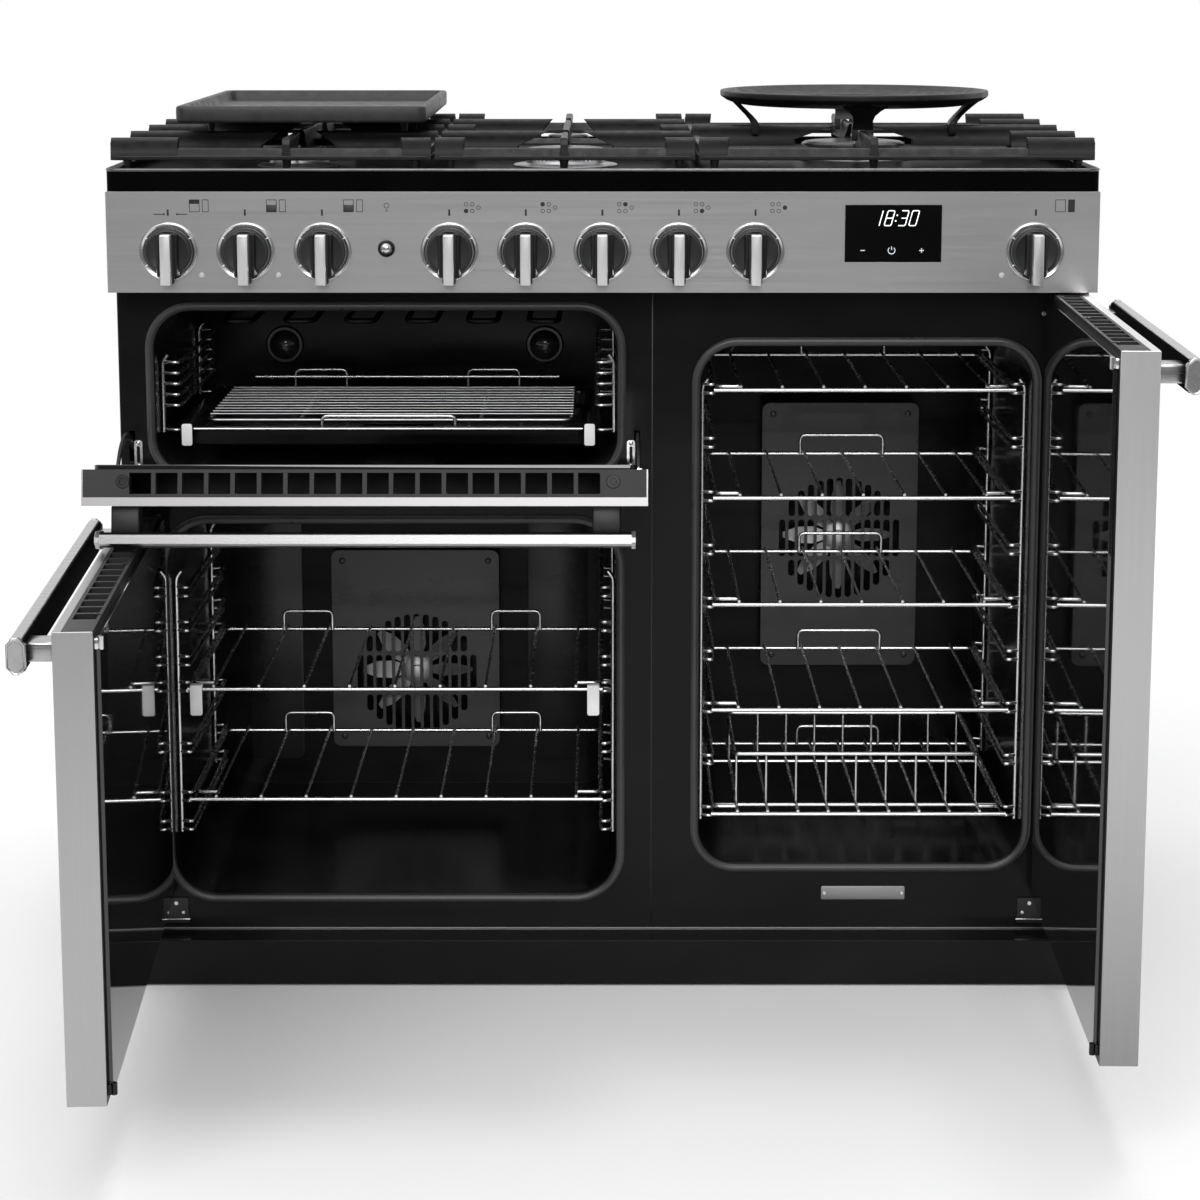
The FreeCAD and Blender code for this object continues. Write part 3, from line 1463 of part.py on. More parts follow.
def grill_pan():
    """The enamelled grill pan, whose rim rides on the side frames, and its wire carrier with two loops behind it."""
    left, right, front, rear = size.pan_left, size.pan_right, size.pan_front, size.pan_rear
    z, rim, sheet_ = size.pan_rim_z, size.pan_rim, size.pan_sheet
    edge = box("pan_rim_plate", (left, front, z - sheet_), (right, rear, z))
    tub = rounded(
        "pan_tub", (left + rim, front + rim, z - size.pan_deep), (right - rim, rear - rim, z), size.pan_round, "z"
    )
    hollow = rounded(
        "pan_hollow",
        (left + rim + sheet_, front + rim + sheet_, z - size.pan_deep + sheet_),
        (right - rim - sheet_, rear - rim - sheet_, z + size.overrun),
        size.pan_round - sheet_, "z",
    )
    pan = cut("pan_open", fuse("pan_whole", [edge, tub]), [hollow])
    radius = size.wire_radius
    y, low, middle = rear + radius + size.play, z - radius, (left + right) / 2
    carrier = [wire("carrier_rail", (left + rim, y, low), right - left - 2 * rim, "x", radius)]
    for name, x in (("left", middle - size.carrier_spread), ("right", middle + size.carrier_spread)):
        carrier += stand(f"carrier_{name}", x, size.carrier_wide, y, low + radius)
    node("grill_pan", group("pan_and_carrier", [pan] + carrier))


def grill_rack():
    """The wire trivet that stands in the grill pan."""
    inset, z = size.rack_inset, size.rack_height
    left, right = size.pan_left + inset, size.pan_right - inset
    front, rear = size.pan_front + inset, size.pan_rear - inset
    radius, thin = size.wire_radius, size.thin_wire
    flat, lift = radius * FLAT_SHARE, z + radius * FLAT_SHARE + thin
    floor = size.pan_rim_z - size.pan_deep + size.pan_sheet + size.play
    pieces = []
    for label, x in (("left", left), ("right", right)):
        pieces.append(wire(f"rack_{label}", (x, front, z), rear - front, "y", radius))
        for end, y in (("front", front + 2 * radius), ("rear", rear - 2 * radius)):
            pieces.append(wire(f"rack_leg_{label}_{end}", (x, y, floor), z - flat - floor, "z", radius))
    pitch = (rear - front - 2 * thin) / (RACK_WIRES - 1)
    for step in range(RACK_WIRES):
        at = (left - radius, front + thin + step * pitch, lift)
        pieces.append(wire(f"rack_wire_{step}", at, right - left + 2 * radius, "x", thin))
    node("grill_rack", group("rack_wires", pieces))

# Fans, baffles and elements


def baffles():
    """The slotted covers in front of the two fans, each a tray on the cavity's back wall."""
    covers = []
    for name in ("main", "tall"):
        left, right, low, high = [getattr(size, f"{name}_baffle_{side}") for side in ("left", "right", "low", "high")]
        front, back, sheet_ = size.baffle_front, size.liner_back, size.sheet
        shell = rounded(f"{name}_baffle_shell", (left, front, low), (right, back, high), size.glass_round)
        tools = [box(
            f"{name}_baffle_inside",
            (left + sheet_, front + sheet_, low + sheet_), (right - sheet_, back + size.overrun, high - sheet_),
        )]
        x, z = getattr(size, f"{name}_fan_x"), getattr(size, f"{name}_fan_z")
        pitch, wide, long = size.baffle_slot_pitch, size.baffle_slot, size.baffle_slot_long
        for row in (-1, 0, 1):
            for column in range(-3, 4):
                if row and abs(column) == 3:
                    continue
                u, v = x + column * pitch, z + row * (long + pitch - wide)
                tools.append(box(
                    f"{name}_baffle_slot_{row + 1}_{column + 3}",
                    (u - wide / 2, front - size.overrun, v - long / 2),
                    (u + wide / 2, front + sheet_ + size.overrun, v + long / 2),
                ))
        covers.append(cut(f"{name}_baffle", shell, tools))
    node("fan_baffles", group("baffle_covers", covers))


def fans():
    """Two fan wheels: a hub with a plate and folded blades round it."""
    for name in ("main", "tall"):
        x, z = getattr(size, f"{name}_fan_x"), getattr(size, f"{name}_fan_z")
        body = doc.addObject("PartDesign::Body", f"{name}_wheel")
        root, tip, far = size.blade_root / 2, size.blade_tip / 2, size.fan_radius
        hub = body.newObject("PartDesign::AdditiveCylinder", f"{name}_hub")
        bind(hub, Radius=size.fan_hub, Height=size.fan_deep / 2)
        petal = outline(body, "XY_Plane", [
            (size.fan_hub * 0.8, -root), (far * 0.75, -tip), (far, 0), (far * 0.75, tip), (size.fan_hub * 0.8, root)
        ], label="petal")
        plate = body.newObject("PartDesign::Pad", f"{name}_petal")
        plate.Profile = petal
        bind(plate, Length=size.fan_sheet)
        fold = outline(body, "XY_Plane", [
            (far * 0.4, root), (far * 0.4, root - size.fan_sheet), (far * 0.75, tip - size.fan_sheet),
            (far * 0.75, tip),
        ], label="fold")
        blade = body.newObject("PartDesign::Pad", f"{name}_blade")
        blade.Profile = fold
        bind(blade, Length=size.fan_deep)
        polar(body, [plate, blade], FAN_BLADES, f"{name}_blades")
        bore = body.newObject("PartDesign::SubtractiveCylinder", f"{name}_bore")
        bind(bore, Radius=size.fan_bore + size.pin_play, Height=size.fan_deep)
        place(body, (x, size.fan_front, z), "y")
        node(f"{name}_fan", body)


def oven_elements():
    """The ring elements round the fans and the grill's looped element below its roof."""
    pieces = []
    thick = size.element_wire
    start, deep = size.fan_front + size.fan_deep / 2, size.liner_back - size.play
    for name in ("main", "tall"):
        x, z = getattr(size, f"{name}_fan_x"), getattr(size, f"{name}_fan_z")
        outer, inner = size.element_radius + thick, size.element_radius - thick
        ring = bar(f"{name}_element_outer", (x, start, z), outer, 2 * thick, "y", ROUND_FLATS)
        hole = bar(
            f"{name}_element_inner", (x, start - size.overrun, z), inner, 2 * (thick + size.overrun), "y", ROUND_FLATS
        )
        legs = []
        for index, side in enumerate((-1, 1)):
            at = (x + side * size.fan_hub, start + thick, z + size.element_radius - thick / 2)
            legs.append(wire(f"{name}_element_leg_{index}", at, deep - start - thick, "y", thick * 0.8))
        pieces.append(fuse(f"{name}_element", [cut(f"{name}_element_ring", ring, [hole])] + legs))
    z = size.grill_high - size.grill_round / 2
    left, right = size.grill_left + 2 * size.grill_round, size.grill_right - 2 * size.grill_round
    near, far = size.ladder_front + size.grill_round, size.grill_back - size.play
    step = (right - left) / (2 * GRILL_LOOPS - 1)
    for loop in range(GRILL_LOOPS):
        first = left + 2 * loop * step
        pieces.append(fuse(f"grill_loop_{loop}", [
            wire(f"grill_run_{loop}_in", (first, near, z), far - near, "y", thick),
            wire(f"grill_run_{loop}_out", (first + step, near, z), far - near, "y", thick),
            wire(f"grill_turn_{loop}", (first - thick, near + thick, z), step + 2 * thick, "x", thick),
        ]))
    node("oven_elements", group("elements", pieces))

# Behind the panel


def gas_manifold():
    """The gas rail, its five tap bodies, the riser and the threaded inlet at the back."""
    pieces, bores = [], []
    last = size.gas_inlet_x
    y, z, radius = size.rail_y, size.rail_z, size.rail_radius
    first = size.gas_knob_x - 2 * radius
    pieces.append(bar("rail_pipe", (first, y, z), radius, last - first + 1.5 * radius, "x"))
    half, start = size.tap_radius, size.panel_front + size.sheet + size.play
    for step in range(GAS_KNOBS):
        x = size.gas_knob_x + step * size.gas_knob_pitch
        pieces.append(box(
            f"tap_{step}", (x - half, start, size.knob_z - half), (x + half, start + size.tap_long, size.knob_z + half)
        ))
        pieces.append(box(
            f"tap_neck_{step}", (x - half / 2, y - half / 2, size.knob_z), (x + half / 2, y + half / 2, z)
        ))
        at = (x, start - size.overrun, size.knob_z)
        bores.append(bar(f"tap_bore_{step}", at, size.shaft_hole, size.spindle_long + size.overrun, "y"))
    back = size.body_back - size.gas_inlet_long
    pieces.append(bar("rail_return", (last, y, z), radius * 0.9, back + radius - y, "y"))
    pieces.append(bar("riser", (last, back, size.gas_inlet_z), radius * 0.8, z - size.gas_inlet_z, "z"))
    pieces.append(rod(
        "inlet_socket", (last, back - radius * 2, size.gas_inlet_z), size.gas_inlet_radius,
        size.gas_inlet_long + radius * 2, "y",
    ))
    bores.append(rod(
        "inlet_bore", (last, back, size.gas_inlet_z), size.gas_bore, size.gas_inlet_long + size.overrun, "y"
    ))
    node("gas_manifold", cut("manifold_open", fuse("manifold_pipes", pieces), bores))


def electrical_parts():
    """The oven switches, the two fan motors with their spindles and the mains terminal box."""
    pieces = []
    half, start = size.switch_wide / 2, size.panel_front + size.sheet + size.play
    for name, x, kind in knob_places():
        if kind != "oven":
            continue
        block = box(
            f"{name}_switch_block",
            (x - half, start, size.knob_z - half), (x + half, start + size.switch_deep, size.knob_z + half),
        )
        at = (x, start - size.overrun, size.knob_z)
        bore = bar(f"{name}_switch_bore", at, size.shaft_hole, size.spindle_long + size.overrun, "y")
        pieces.append(cut(f"{name}_switch", block, [bore]))
    for name in ("main", "tall"):
        x, z = getattr(size, f"{name}_fan_x"), getattr(size, f"{name}_fan_z")
        start, tip = size.liner_back + size.sheet, size.fan_front - size.overrun
        can = bar(f"{name}_motor_can", (x, start, z), size.motor_radius, size.motor_deep, "y", ROUND_FLATS)
        spindle = rod(f"{name}_motor_spindle", (x, tip, z), size.fan_bore, start + size.overrun - tip, "y")
        pieces.append(fuse(f"{name}_motor", [can, spindle]))
    back, x, z = size.body_back - size.sheet, size.cable_x, size.cable_z
    wide, high = size.terminal_wide / 2, size.terminal_high / 2
    block = box("terminal_block", (x - wide, back - size.terminal_deep, z - high), (x + wide, back, z + high))
    entry = rod("terminal_entry", (x, back - size.terminal_entry, z), size.cable_entry_radius,
                size.terminal_entry + size.overrun, "y")
    pieces.append(cut("terminal_box", block, [entry]))
    node("electrical_parts", group("electrics", pieces))


def build():
    """Make every sub-part, in the order that the cooker is put together."""
    base_tray()
    levelling_feet()
    plinth()
    side_panels()
    back_panel()
    liners()
    face_plate()
    door_seals()
    hotplate()
    burners()
    pan_supports()
    griddle()
    wok_ring()
    control_panel()
    display_and_lenses()
    knob_bezels()
    knobs()
    light_button()
    doors()
    door_hinges()
    shelf_ladders()
    shelves()
    plate_rack()
    grill_pan()
    grill_rack()
    baffles()
    fans()
    oven_elements()
    gas_manifold()
    electrical_parts()


def export():
    """Check every object, then write one STEP file for each sub-part."""
    doc.recompute()
    for item in doc.Objects:
        if "Invalid" in item.State or "Error" in item.State:
            raise RuntimeError(f"{item.Name} failed: {item.State}")
    for name, piece in NODES.items():
        if piece.Shape.isNull() or not piece.Shape.isValid():
            raise RuntimeError(f"{name} has no valid shape")
    os.makedirs("parts", exist_ok=True)
    for name, piece in NODES.items():
        piece.Shape.exportStep(f"parts/{name}.step")
    print(len(NODES), "sub-parts")


build()
export()
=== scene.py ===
import json
import logging
import math
from collections.abc import Iterable, Sequence
from dataclasses import dataclass, field
from enum import Enum

import bmesh
import bpy
from mathutils import Matrix, Vector

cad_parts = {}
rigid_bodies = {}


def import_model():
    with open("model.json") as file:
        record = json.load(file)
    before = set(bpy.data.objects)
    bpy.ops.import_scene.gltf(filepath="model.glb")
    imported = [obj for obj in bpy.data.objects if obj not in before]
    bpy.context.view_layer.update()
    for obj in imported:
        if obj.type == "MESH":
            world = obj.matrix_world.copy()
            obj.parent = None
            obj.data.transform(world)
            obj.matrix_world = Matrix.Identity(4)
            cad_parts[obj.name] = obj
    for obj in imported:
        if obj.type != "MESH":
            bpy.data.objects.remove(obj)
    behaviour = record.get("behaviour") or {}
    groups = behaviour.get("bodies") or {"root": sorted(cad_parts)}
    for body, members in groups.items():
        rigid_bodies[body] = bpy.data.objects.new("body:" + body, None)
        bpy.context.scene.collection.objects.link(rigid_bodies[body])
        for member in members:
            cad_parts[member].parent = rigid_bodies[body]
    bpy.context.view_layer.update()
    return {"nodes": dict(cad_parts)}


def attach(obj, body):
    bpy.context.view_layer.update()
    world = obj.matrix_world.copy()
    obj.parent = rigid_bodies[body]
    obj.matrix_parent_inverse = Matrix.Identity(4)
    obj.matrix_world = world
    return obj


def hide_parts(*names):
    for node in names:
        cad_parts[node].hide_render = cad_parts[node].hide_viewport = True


LOG = logging.getLogger("range_cooker")
MM = 0.001
SHARP = math.radians(38)
BEVELLED = math.radians(40)
LEAST_CORNER = 0.05
LEAST_STEP = 1e-4

Point = tuple[float, float, float]
Spot = tuple[float, float]
Box = tuple[float, float, float, float]

NODES: dict[str, bpy.types.Object] = {}


# Shader building


class Signal:
    """A shader socket that takes part in Python arithmetic."""

    def __init__(self, paint: "Paint", socket: bpy.types.NodeSocket) -> None:
        """Keep the socket and the paint that it belongs to."""
        self.paint = paint
        self.socket = socket

    def _math(self, operation: str, first: "Signal | float", second: "Signal | float") -> "Signal":
        """Add one Math node."""
        return self.paint.add("ShaderNodeMath", {"operation": operation}, {0: first, 1: second})

    def __add__(self, other: "Signal | float") -> "Signal":
        """Sum."""
        return self._math("ADD", self, other)

    def __rsub__(self, other: float) -> "Signal":
        """Difference from a number."""
        return self._math("SUBTRACT", other, self)

    def __mul__(self, other: "Signal | float") -> "Signal":
        """Product."""
        return self._math("MULTIPLY", self, other)

    def largest(self, other: "Signal | float") -> "Signal":
        """The larger of two values."""
        return self._math("MAXIMUM", self, other)

    def spread(self, low: float, high: float, to_low: float = 0.0, to_high: float = 1.0) -> "Signal":
        """Map a range of values to another, held at both ends.

        Args:
            low: The value that gives to_low.
            high: The value that gives to_high.
            to_low: The first end of the result.
            to_high: The other end.

        Returns:
            The mapped value.
        """
        return self.paint.add("ShaderNodeMapRange", {"clamp": True}, {
            "Value": self, "From Min": low, "From Max": high, "To Min": to_low, "To Max": to_high,
        })


class Paint:
    """A material's node tree under construction."""

    def __init__(self, tree: bpy.types.NodeTree) -> None:
        """Start from an empty tree."""
        self.tree = tree
        tree.nodes.clear()

    def add(self, kind: str, settings: dict | None = None, sockets: dict | None = None,
            output: int | str = 0) -> Signal:
        """Add a node of any kind.

        Args:
            kind: The node's type.
            settings: Its properties.
            sockets: Values or signals for its inputs, by name or number.
            output: The output that the result stands for.

        Returns:
            The chosen output, or an end node's first input.
        """
        node = self.tree.nodes.new(kind)
        for key, value in (settings or {}).items():
            setattr(node, key, value)
        for key, value in (sockets or {}).items():
            if isinstance(value, Signal):
                self.tree.links.new(value.socket, node.inputs[key])
            else:
                node.inputs[key].default_value = value
        return Signal(self, (node.outputs if len(node.outputs) else node.inputs)[output])

    def place(self, space: str = "Object") -> Signal:
        """The coordinates of the point that is shaded."""
        return self.add("ShaderNodeTexCoord", output=space)

    def part(self, vector: Signal, axis: str) -> Signal:
        """One coordinate of a vector."""
        return self.add("ShaderNodeSeparateXYZ", {}, {"Vector": vector}, axis)

    def noise(self, scale: Point | float, detail: float = 3.0, turn: float = 0.0) -> Signal:
        """Noise in the object's own space.

        Args:
            scale: Grains per metre, for all axes or each.
            detail: The noise's octaves.
            turn: A turn about the upright axis, in degrees.

        Returns:
            The noise, about 0 to 1.
        """
        stretch = scale if isinstance(scale, tuple) else (scale, scale, scale)
        turned = self.add("ShaderNodeMapping", {}, {
            "Vector": self.place(), "Rotation": (0, 0, math.radians(turn)),
        })
        vector = self.add("ShaderNodeMapping", {}, {"Vector": turned, "Scale": stretch})
        return self.add("ShaderNodeTexNoise", {}, {"Vector": vector, "Scale": 1.0, "Detail": detail}, "Fac")

    def cells(self, scale: float, output: str = "Distance") -> Signal:
        """Voronoi cells in the object's own space."""
        return self.add("ShaderNodeTexVoronoi", {}, {"Vector": self.place(), "Scale": scale}, output)

    def blend(self, share: Signal, first: Point, second: Point) -> Signal:
        """A colour between two others."""
        colours = {0: share, 6: (*first, 1), 7: (*second, 1)}
        return self.add("ShaderNodeMix", {"data_type": "RGBA"}, colours, 2)

    def bump(self, height: Signal, strength: float, depth_mm: float) -> Signal:
        """A bumped normal."""
        return self.add("ShaderNodeBump", {}, {
            "Height": height, "Strength": strength, "Distance": depth_mm * MM,
        })

    def surface(self, **sockets: object) -> None:
        """Finish the material with a principled surface, its sockets' words joined by underscores."""
        named = {key.replace("_", " "): value for key, value in sockets.items()}
        shader = self.add("ShaderNodeBsdfPrincipled", {}, named)
        self.add("ShaderNodeOutputMaterial", {}, {"Surface": shader})


class Axis(Enum):
    """The direction that a form runs along."""

    X = 0
    Y = 1
    Z = 2


# Finishes

MADE: dict[str, bpy.types.Material] = {}
LINES_ACROSS, LINES_ALONG = 1100.0, 4.0
STREAK = 0.07
BRIGHTEST = 0.95
SPECK_TONE = 0.06


def grey(value: float, blue: float = 1.03) -> Point:
    """A grey with a touch of blue."""
    return (value, value, value * blue)


def steel(value: float) -> Point:
    """A grey with the faint warmth of steel."""
    return (value, value * 0.985, value * 0.99)


def scaled(colour: Point, share: float) -> Point:
    """A lighter or darker colour."""
    return tuple(min(1.0, part * share) for part in colour)


@dataclass(frozen=True)
class Finish:
    """A named surface."""

    name: str

    def lay(self, paint: Paint) -> None:
        """Build the surface's nodes."""
        raise NotImplementedError

    def material(self) -> bpy.types.Material:
        """The material, made once."""
        if self.name not in MADE:
            made = bpy.data.materials.new(self.name)
            made.use_nodes = True
            self.lay(Paint(made.node_tree))
            MADE[self.name] = made
        return MADE[self.name]


@dataclass(frozen=True)
class BrushedSteel(Finish):
    """Stainless steel with fine lines along one axis, and an optional painted light gradient."""

    tone: float = 0.44
    along: Axis = Axis.X
    turn: float = 0.0
    rough: float = 0.3
    # painted light: the share of a tone gradient from dark near the floor to light at the top
    painted_light_fade: float = 0.0

    def lay(self, paint: Paint) -> None:
        """Lines that vary the tone, the gloss and the bump, and an optional painted light gradient: darker
        towards the floor, lighter towards the top.

        Args:
            paint: The tree to fill.
        """
        grains = [LINES_ACROSS] * 3
        grains[self.along.value] = LINES_ALONG
        lines = paint.noise(tuple(grains), 1.0, self.turn)
        share = lines * 0.8 + paint.noise(5.0, 2.0) * 0.2
        reach = STREAK + self.painted_light_fade
        # painted light: the tone is blended by height, darker towards the floor and lighter towards the top
        if self.painted_light_fade:
            height = paint.part(paint.place(), "Z").spread(0.1, 0.8)
            share = share * (STREAK / reach) + height * (self.painted_light_fade / reach)
        low, high = self.tone * (1 - reach), min(self.tone * (1 + reach), BRIGHTEST)
        paint.surface(
            Base_Color=paint.blend(share, steel(low), steel(high)), Metallic=1.0,
            Roughness=lines.spread(0.2, 0.8, self.rough - 0.02, self.rough + 0.03),
            Normal=paint.bump(lines, 0.012, 0.03),
        )


@dataclass(frozen=True)
class Enamel(Finish):
    """Glassy black enamel with a faint ripple, and pale specks in an oven."""

    tone: float = 0.006
    gloss: float = 0.14
    specular: float = 0.3
    specks: bool = False
    index: float = 1.5

    def lay(self, paint: Paint) -> None:
        """A near black coat with a ripple, smears and specks.

        Args:
            paint: The tree to fill.
        """
        ripple = paint.noise(140.0, 1.0)
        smear = paint.noise((6.0, 6.0, 14.0), 4.0)
        share, bright = smear.spread(0.3, 0.8), self.tone * 1.8
        if self.specks:
            dots = paint.cells(210.0).spread(0.05, 0.11, 1.0, 0.0)
            dots = dots * paint.noise(60.0, 1.0).spread(0.5, 0.62)
            share, bright = (share * 0.25).largest(dots), SPECK_TONE
        paint.surface(
            Base_Color=paint.blend(share, grey(self.tone), grey(bright)), IOR=self.index,
            Roughness=smear.spread(0.3, 0.8, self.gloss, self.gloss + 0.1),
            Normal=paint.bump(ripple, 0.05, 0.25), Specular_IOR_Level=self.specular,
        )


@dataclass(frozen=True)
class Casting(Finish):
    """Sand cast iron under a thin matt enamel."""

    tone: float = 0.035
    rough: float = 0.5
    grit: float = 0.35

    def lay(self, paint: Paint) -> None:
        """A pitted skin, a little worn on the high grains.

        Args:
            paint: The tree to fill.
        """
        grit = paint.noise(900.0, 4.0)
        lumps = paint.noise(90.0, 3.0)
        share = grit * 0.6 + lumps * 0.4
        paint.surface(
            Base_Color=paint.blend(share.spread(0.3, 0.7), grey(self.tone * 0.6), grey(self.tone * 1.6)),
            Roughness=lumps.spread(0.3, 0.7, self.rough - 0.08, self.rough + 0.12),
            Normal=paint.bump(share, self.grit, 0.35), Specular_IOR_Level=0.42,
        )


@dataclass(frozen=True)
class Metal(Finish):
    """Plated or polished metal with faint handling marks."""

    colour: Point = (0.78, 0.78, 0.79)
    rough: float = 0.12
    marks: float = 0.06

    def lay(self, paint: Paint) -> None:
        """Marks in the gloss and a slight cloud in the colour.

        Args:
            paint: The tree to fill.
        """
        cloud = paint.noise(70.0, 4.0)
        fine = paint.noise(400.0, 2.0)
        paint.surface(
            Base_Color=paint.blend(cloud.spread(0.3, 0.75), self.colour, scaled(self.colour, 0.82)),
            Metallic=1.0, Roughness=cloud.spread(0.3, 0.8, self.rough, self.rough + self.marks),
            Normal=paint.bump(fine, 0.01, 0.02),
        )


@dataclass(frozen=True)
class Galvanised(Finish):
    """Zinc coated sheet with its crystal pattern."""

    tone: float = 0.42

    def lay(self, paint: Paint) -> None:
        """Crystals in the tone and the gloss.

        Args:
            paint: The tree to fill.
        """
        crystal = paint.add("ShaderNodeSeparateColor", {}, {"Color": paint.cells(70.0, "Color")})
        share = crystal * 0.6 + paint.noise(12.0, 4.0) * 0.4
        paint.surface(
            Base_Color=paint.blend(share, grey(self.tone * 0.8), grey(self.tone * 1.15)), Metallic=1.0,
            Roughness=share.spread(0.1, 0.9, 0.34, 0.52), Normal=paint.bump(crystal, 0.06, 0.1),
        )


@dataclass(frozen=True)
class Moulded(Finish):
    """Moulded plastic, rubber or satin paint with a fine texture."""

    colour: Point = (0.02, 0.02, 0.021)
    rough: float = 0.45
    texture: float = 0.18
    grain: float = 1400.0

    def lay(self, paint: Paint) -> None:
        """A spark eroded texture with soft clouds.

        Args:
            paint: The tree to fill.
        """
        fine = paint.noise(self.grain, 2.0)
        cloud = paint.noise(25.0, 4.0)
        paint.surface(
            Base_Color=paint.blend(cloud.spread(0.3, 0.75), self.colour, scaled(self.colour, 1.35)),
            Roughness=cloud.spread(0.25, 0.8, self.rough, self.rough + 0.12),
            Normal=paint.bump(fine, self.texture, 0.12), Specular_IOR_Level=0.4,
        )


@dataclass(frozen=True)
class DarkGlass(Finish):
    """Dark glass with a coat that mirrors what stands before it."""

    tone: float = 0.004
    gloss: float = 0.02
    coat: float = 0.6

    def lay(self, paint: Paint) -> None:
        """A black body with faint wiping marks in its gloss.

        Args:
            paint: The tree to fill.
        """
        wipe = paint.noise((3.0, 3.0, 30.0), 5.0)
        paint.surface(
            Base_Color=paint.blend(wipe.spread(0.35, 0.8), grey(self.tone, 1.0), grey(self.tone * 2.2, 1.05)),
            Roughness=wipe.spread(0.3, 0.85, self.gloss, self.gloss + 0.03),
            Specular_IOR_Level=0.5, Coat_Weight=self.coat, Coat_Roughness=0.02,
        )


@dataclass(frozen=True)
class Ink(Finish):
    """Printed marks and lit digits."""

    colour: Point = (0.03, 0.03, 0.03)
    glow: float = 0.0

    def lay(self, paint: Paint) -> None:
        """Flat ink with a slight unevenness.

        Args:
            paint: The tree to fill.
        """
        uneven = paint.noise(900.0, 2.0)
        paint.surface(
            Base_Color=paint.blend(uneven, self.colour, scaled(self.colour, 1.15)),
            Roughness=uneven.spread(0.2, 0.8, 0.4, 0.55),
            Emission_Color=(*self.colour, 1), Emission_Strength=self.glow,
        )


STEEL_PANEL = BrushedSteel("panel_steel", 0.58, Axis.X)
STEEL_LEFT_DOOR = BrushedSteel("left_door_steel", 0.42, Axis.Z, 87.0, 0.32)
# painted light: the right door's steel is lighter than the left door's, with a painted light gradient towards
# the top
STEEL_RIGHT_DOOR_PAINTED_LIGHT = BrushedSteel("right_door_painted_light_steel", 0.52, Axis.Z, -88.6, 0.32, 0.45)
# painted shade: the grill door's steel is darker than the side doors' steel
STEEL_GRILL_DOOR_PAINTED_SHADE = BrushedSteel("grill_door_painted_shade_steel", 0.33, Axis.X, 0.0, 0.3)
STEEL_HANDLE = BrushedSteel("handle_steel", 0.42, Axis.X, 0.0, 0.26)
STEEL_GRIP = BrushedSteel("knob_steel", 0.7, Axis.Z, 0.0, 0.42)
# painted light: the fans' steel is made far lighter than the other steels, standing in for light inside the
# dark cavities
STEEL_FAN_PAINTED_LIGHT = BrushedSteel("fan_steel", 0.86, Axis.Y, 0.0, 0.58)
STEEL_PLATE = BrushedSteel("plate_steel", 0.34, Axis.X, 0.0, 0.35)
ENAMEL_FACE = Enamel("face_enamel", 0.005, 0.1, 0.12)
ENAMEL_OVEN = Enamel("oven_enamel", 0.0012, 0.16, 0.12, True, 1.4)
ENAMEL_COVER = Enamel("cover_enamel", 0.02, 0.25, 0.5, True)
ENAMEL_HOB = Enamel("hob_enamel", 0.0015, 0.26, 0.02, False, 1.2)
# painted light: the back wall's fields are a lighter copy of the oven enamel
ENAMEL_WALL_PAINTED_LIGHT = Enamel("wall_painted_light_enamel", 0.012, 0.25, 0.4, True)
ENAMEL_PAN = Enamel("pan_enamel", 0.002, 0.12, 0.25, True)
DISPLAY_GLASS = Enamel("display_glass", 0.002, 0.05, 0.1)
HANDLE_BACK = Enamel("handle_back", 0.004, 0.6, 0.04, False, 1.1)
IRON_SUPPORT = Casting("support_iron", 0.005, 0.42)
IRON_GRIDDLE = Casting("griddle_iron", 0.02, 0.46, 0.25)
IRON_CAP = Casting("burner_cap_enamel", 0.01, 0.3, 0.1)
# painted highlight: a metallic finish on the hob's enamel edge, so that it shows a bright glint line
HOB_EDGE_PAINTED_GLINT = Metal("hob_edge_painted_glint", (0.13, 0.13, 0.13), 0.22)
WIRE_CHROME = Metal("wire_chrome", (0.74, 0.74, 0.75), 0.24)
RING_CHROME = Metal("ring_chrome", (0.66, 0.66, 0.67), 0.2)
RACK_CHROME = Metal("rack_chrome", (0.42, 0.42, 0.42), 0.3)
BRIGHT_STEEL = Metal("bright_steel", (0.6, 0.6, 0.61), 0.2)
BRIGHT_CAST = Metal("handle_cap_steel", (0.5, 0.5, 0.51), 0.25)
BURNER_ALLOY = Metal("burner_alloy", (0.42, 0.42, 0.43), 0.34, 0.15)
BRASS = Metal("brass", (0.72, 0.5, 0.2), 0.25, 0.15)
ELEMENT_STEEL = Metal("element_steel", (0.05, 0.048, 0.046), 0.42, 0.15)
HINGE_DARK = Metal("hinge_dark", (0.045, 0.045, 0.046), 0.4)
BOLT_DARK = Metal("bolt_dark", (0.03, 0.03, 0.03), 0.26)
SCREW_STEEL = Metal("screw_steel", (0.7, 0.7, 0.7), 0.18)
ZINC = Galvanised("galvanised", 0.42)
PAINT_BLACK = Moulded("side_paint", (0.012, 0.012, 0.0125), 0.38, 0.12, 700.0)
PLASTIC_BLACK = Moulded("door_black", (0.011, 0.011, 0.0115), 0.42, 0.2)
PLASTIC_GREY = Moulded("grey_plastic", (0.12, 0.12, 0.125), 0.5)
KNOB_DARK = Moulded("knob_dark", (0.014, 0.0145, 0.015), 0.36, 0.1)
KNOB_BLACK = Moulded("knob_black", (0.006, 0.006, 0.006), 0.35, 0.1)
TAB_GREY = Moulded("tab_grey", (0.72, 0.72, 0.72), 0.4, 0.1)
RUBBER = Moulded("seal_rubber", (0.03, 0.03, 0.031), 0.26, 0.08)
CERAMIC = Moulded("ceramic", (0.6, 0.57, 0.5), 0.4, 0.1)
LENS_CLEAR = Moulded("lens_clear", (0.4, 0.4, 0.41), 0.2, 0.02)
DOOR_GLASS = DarkGlass("door_glass")
LAMP_GLASS = DarkGlass("lamp_glass", 0.02, 0.05, 1.0)
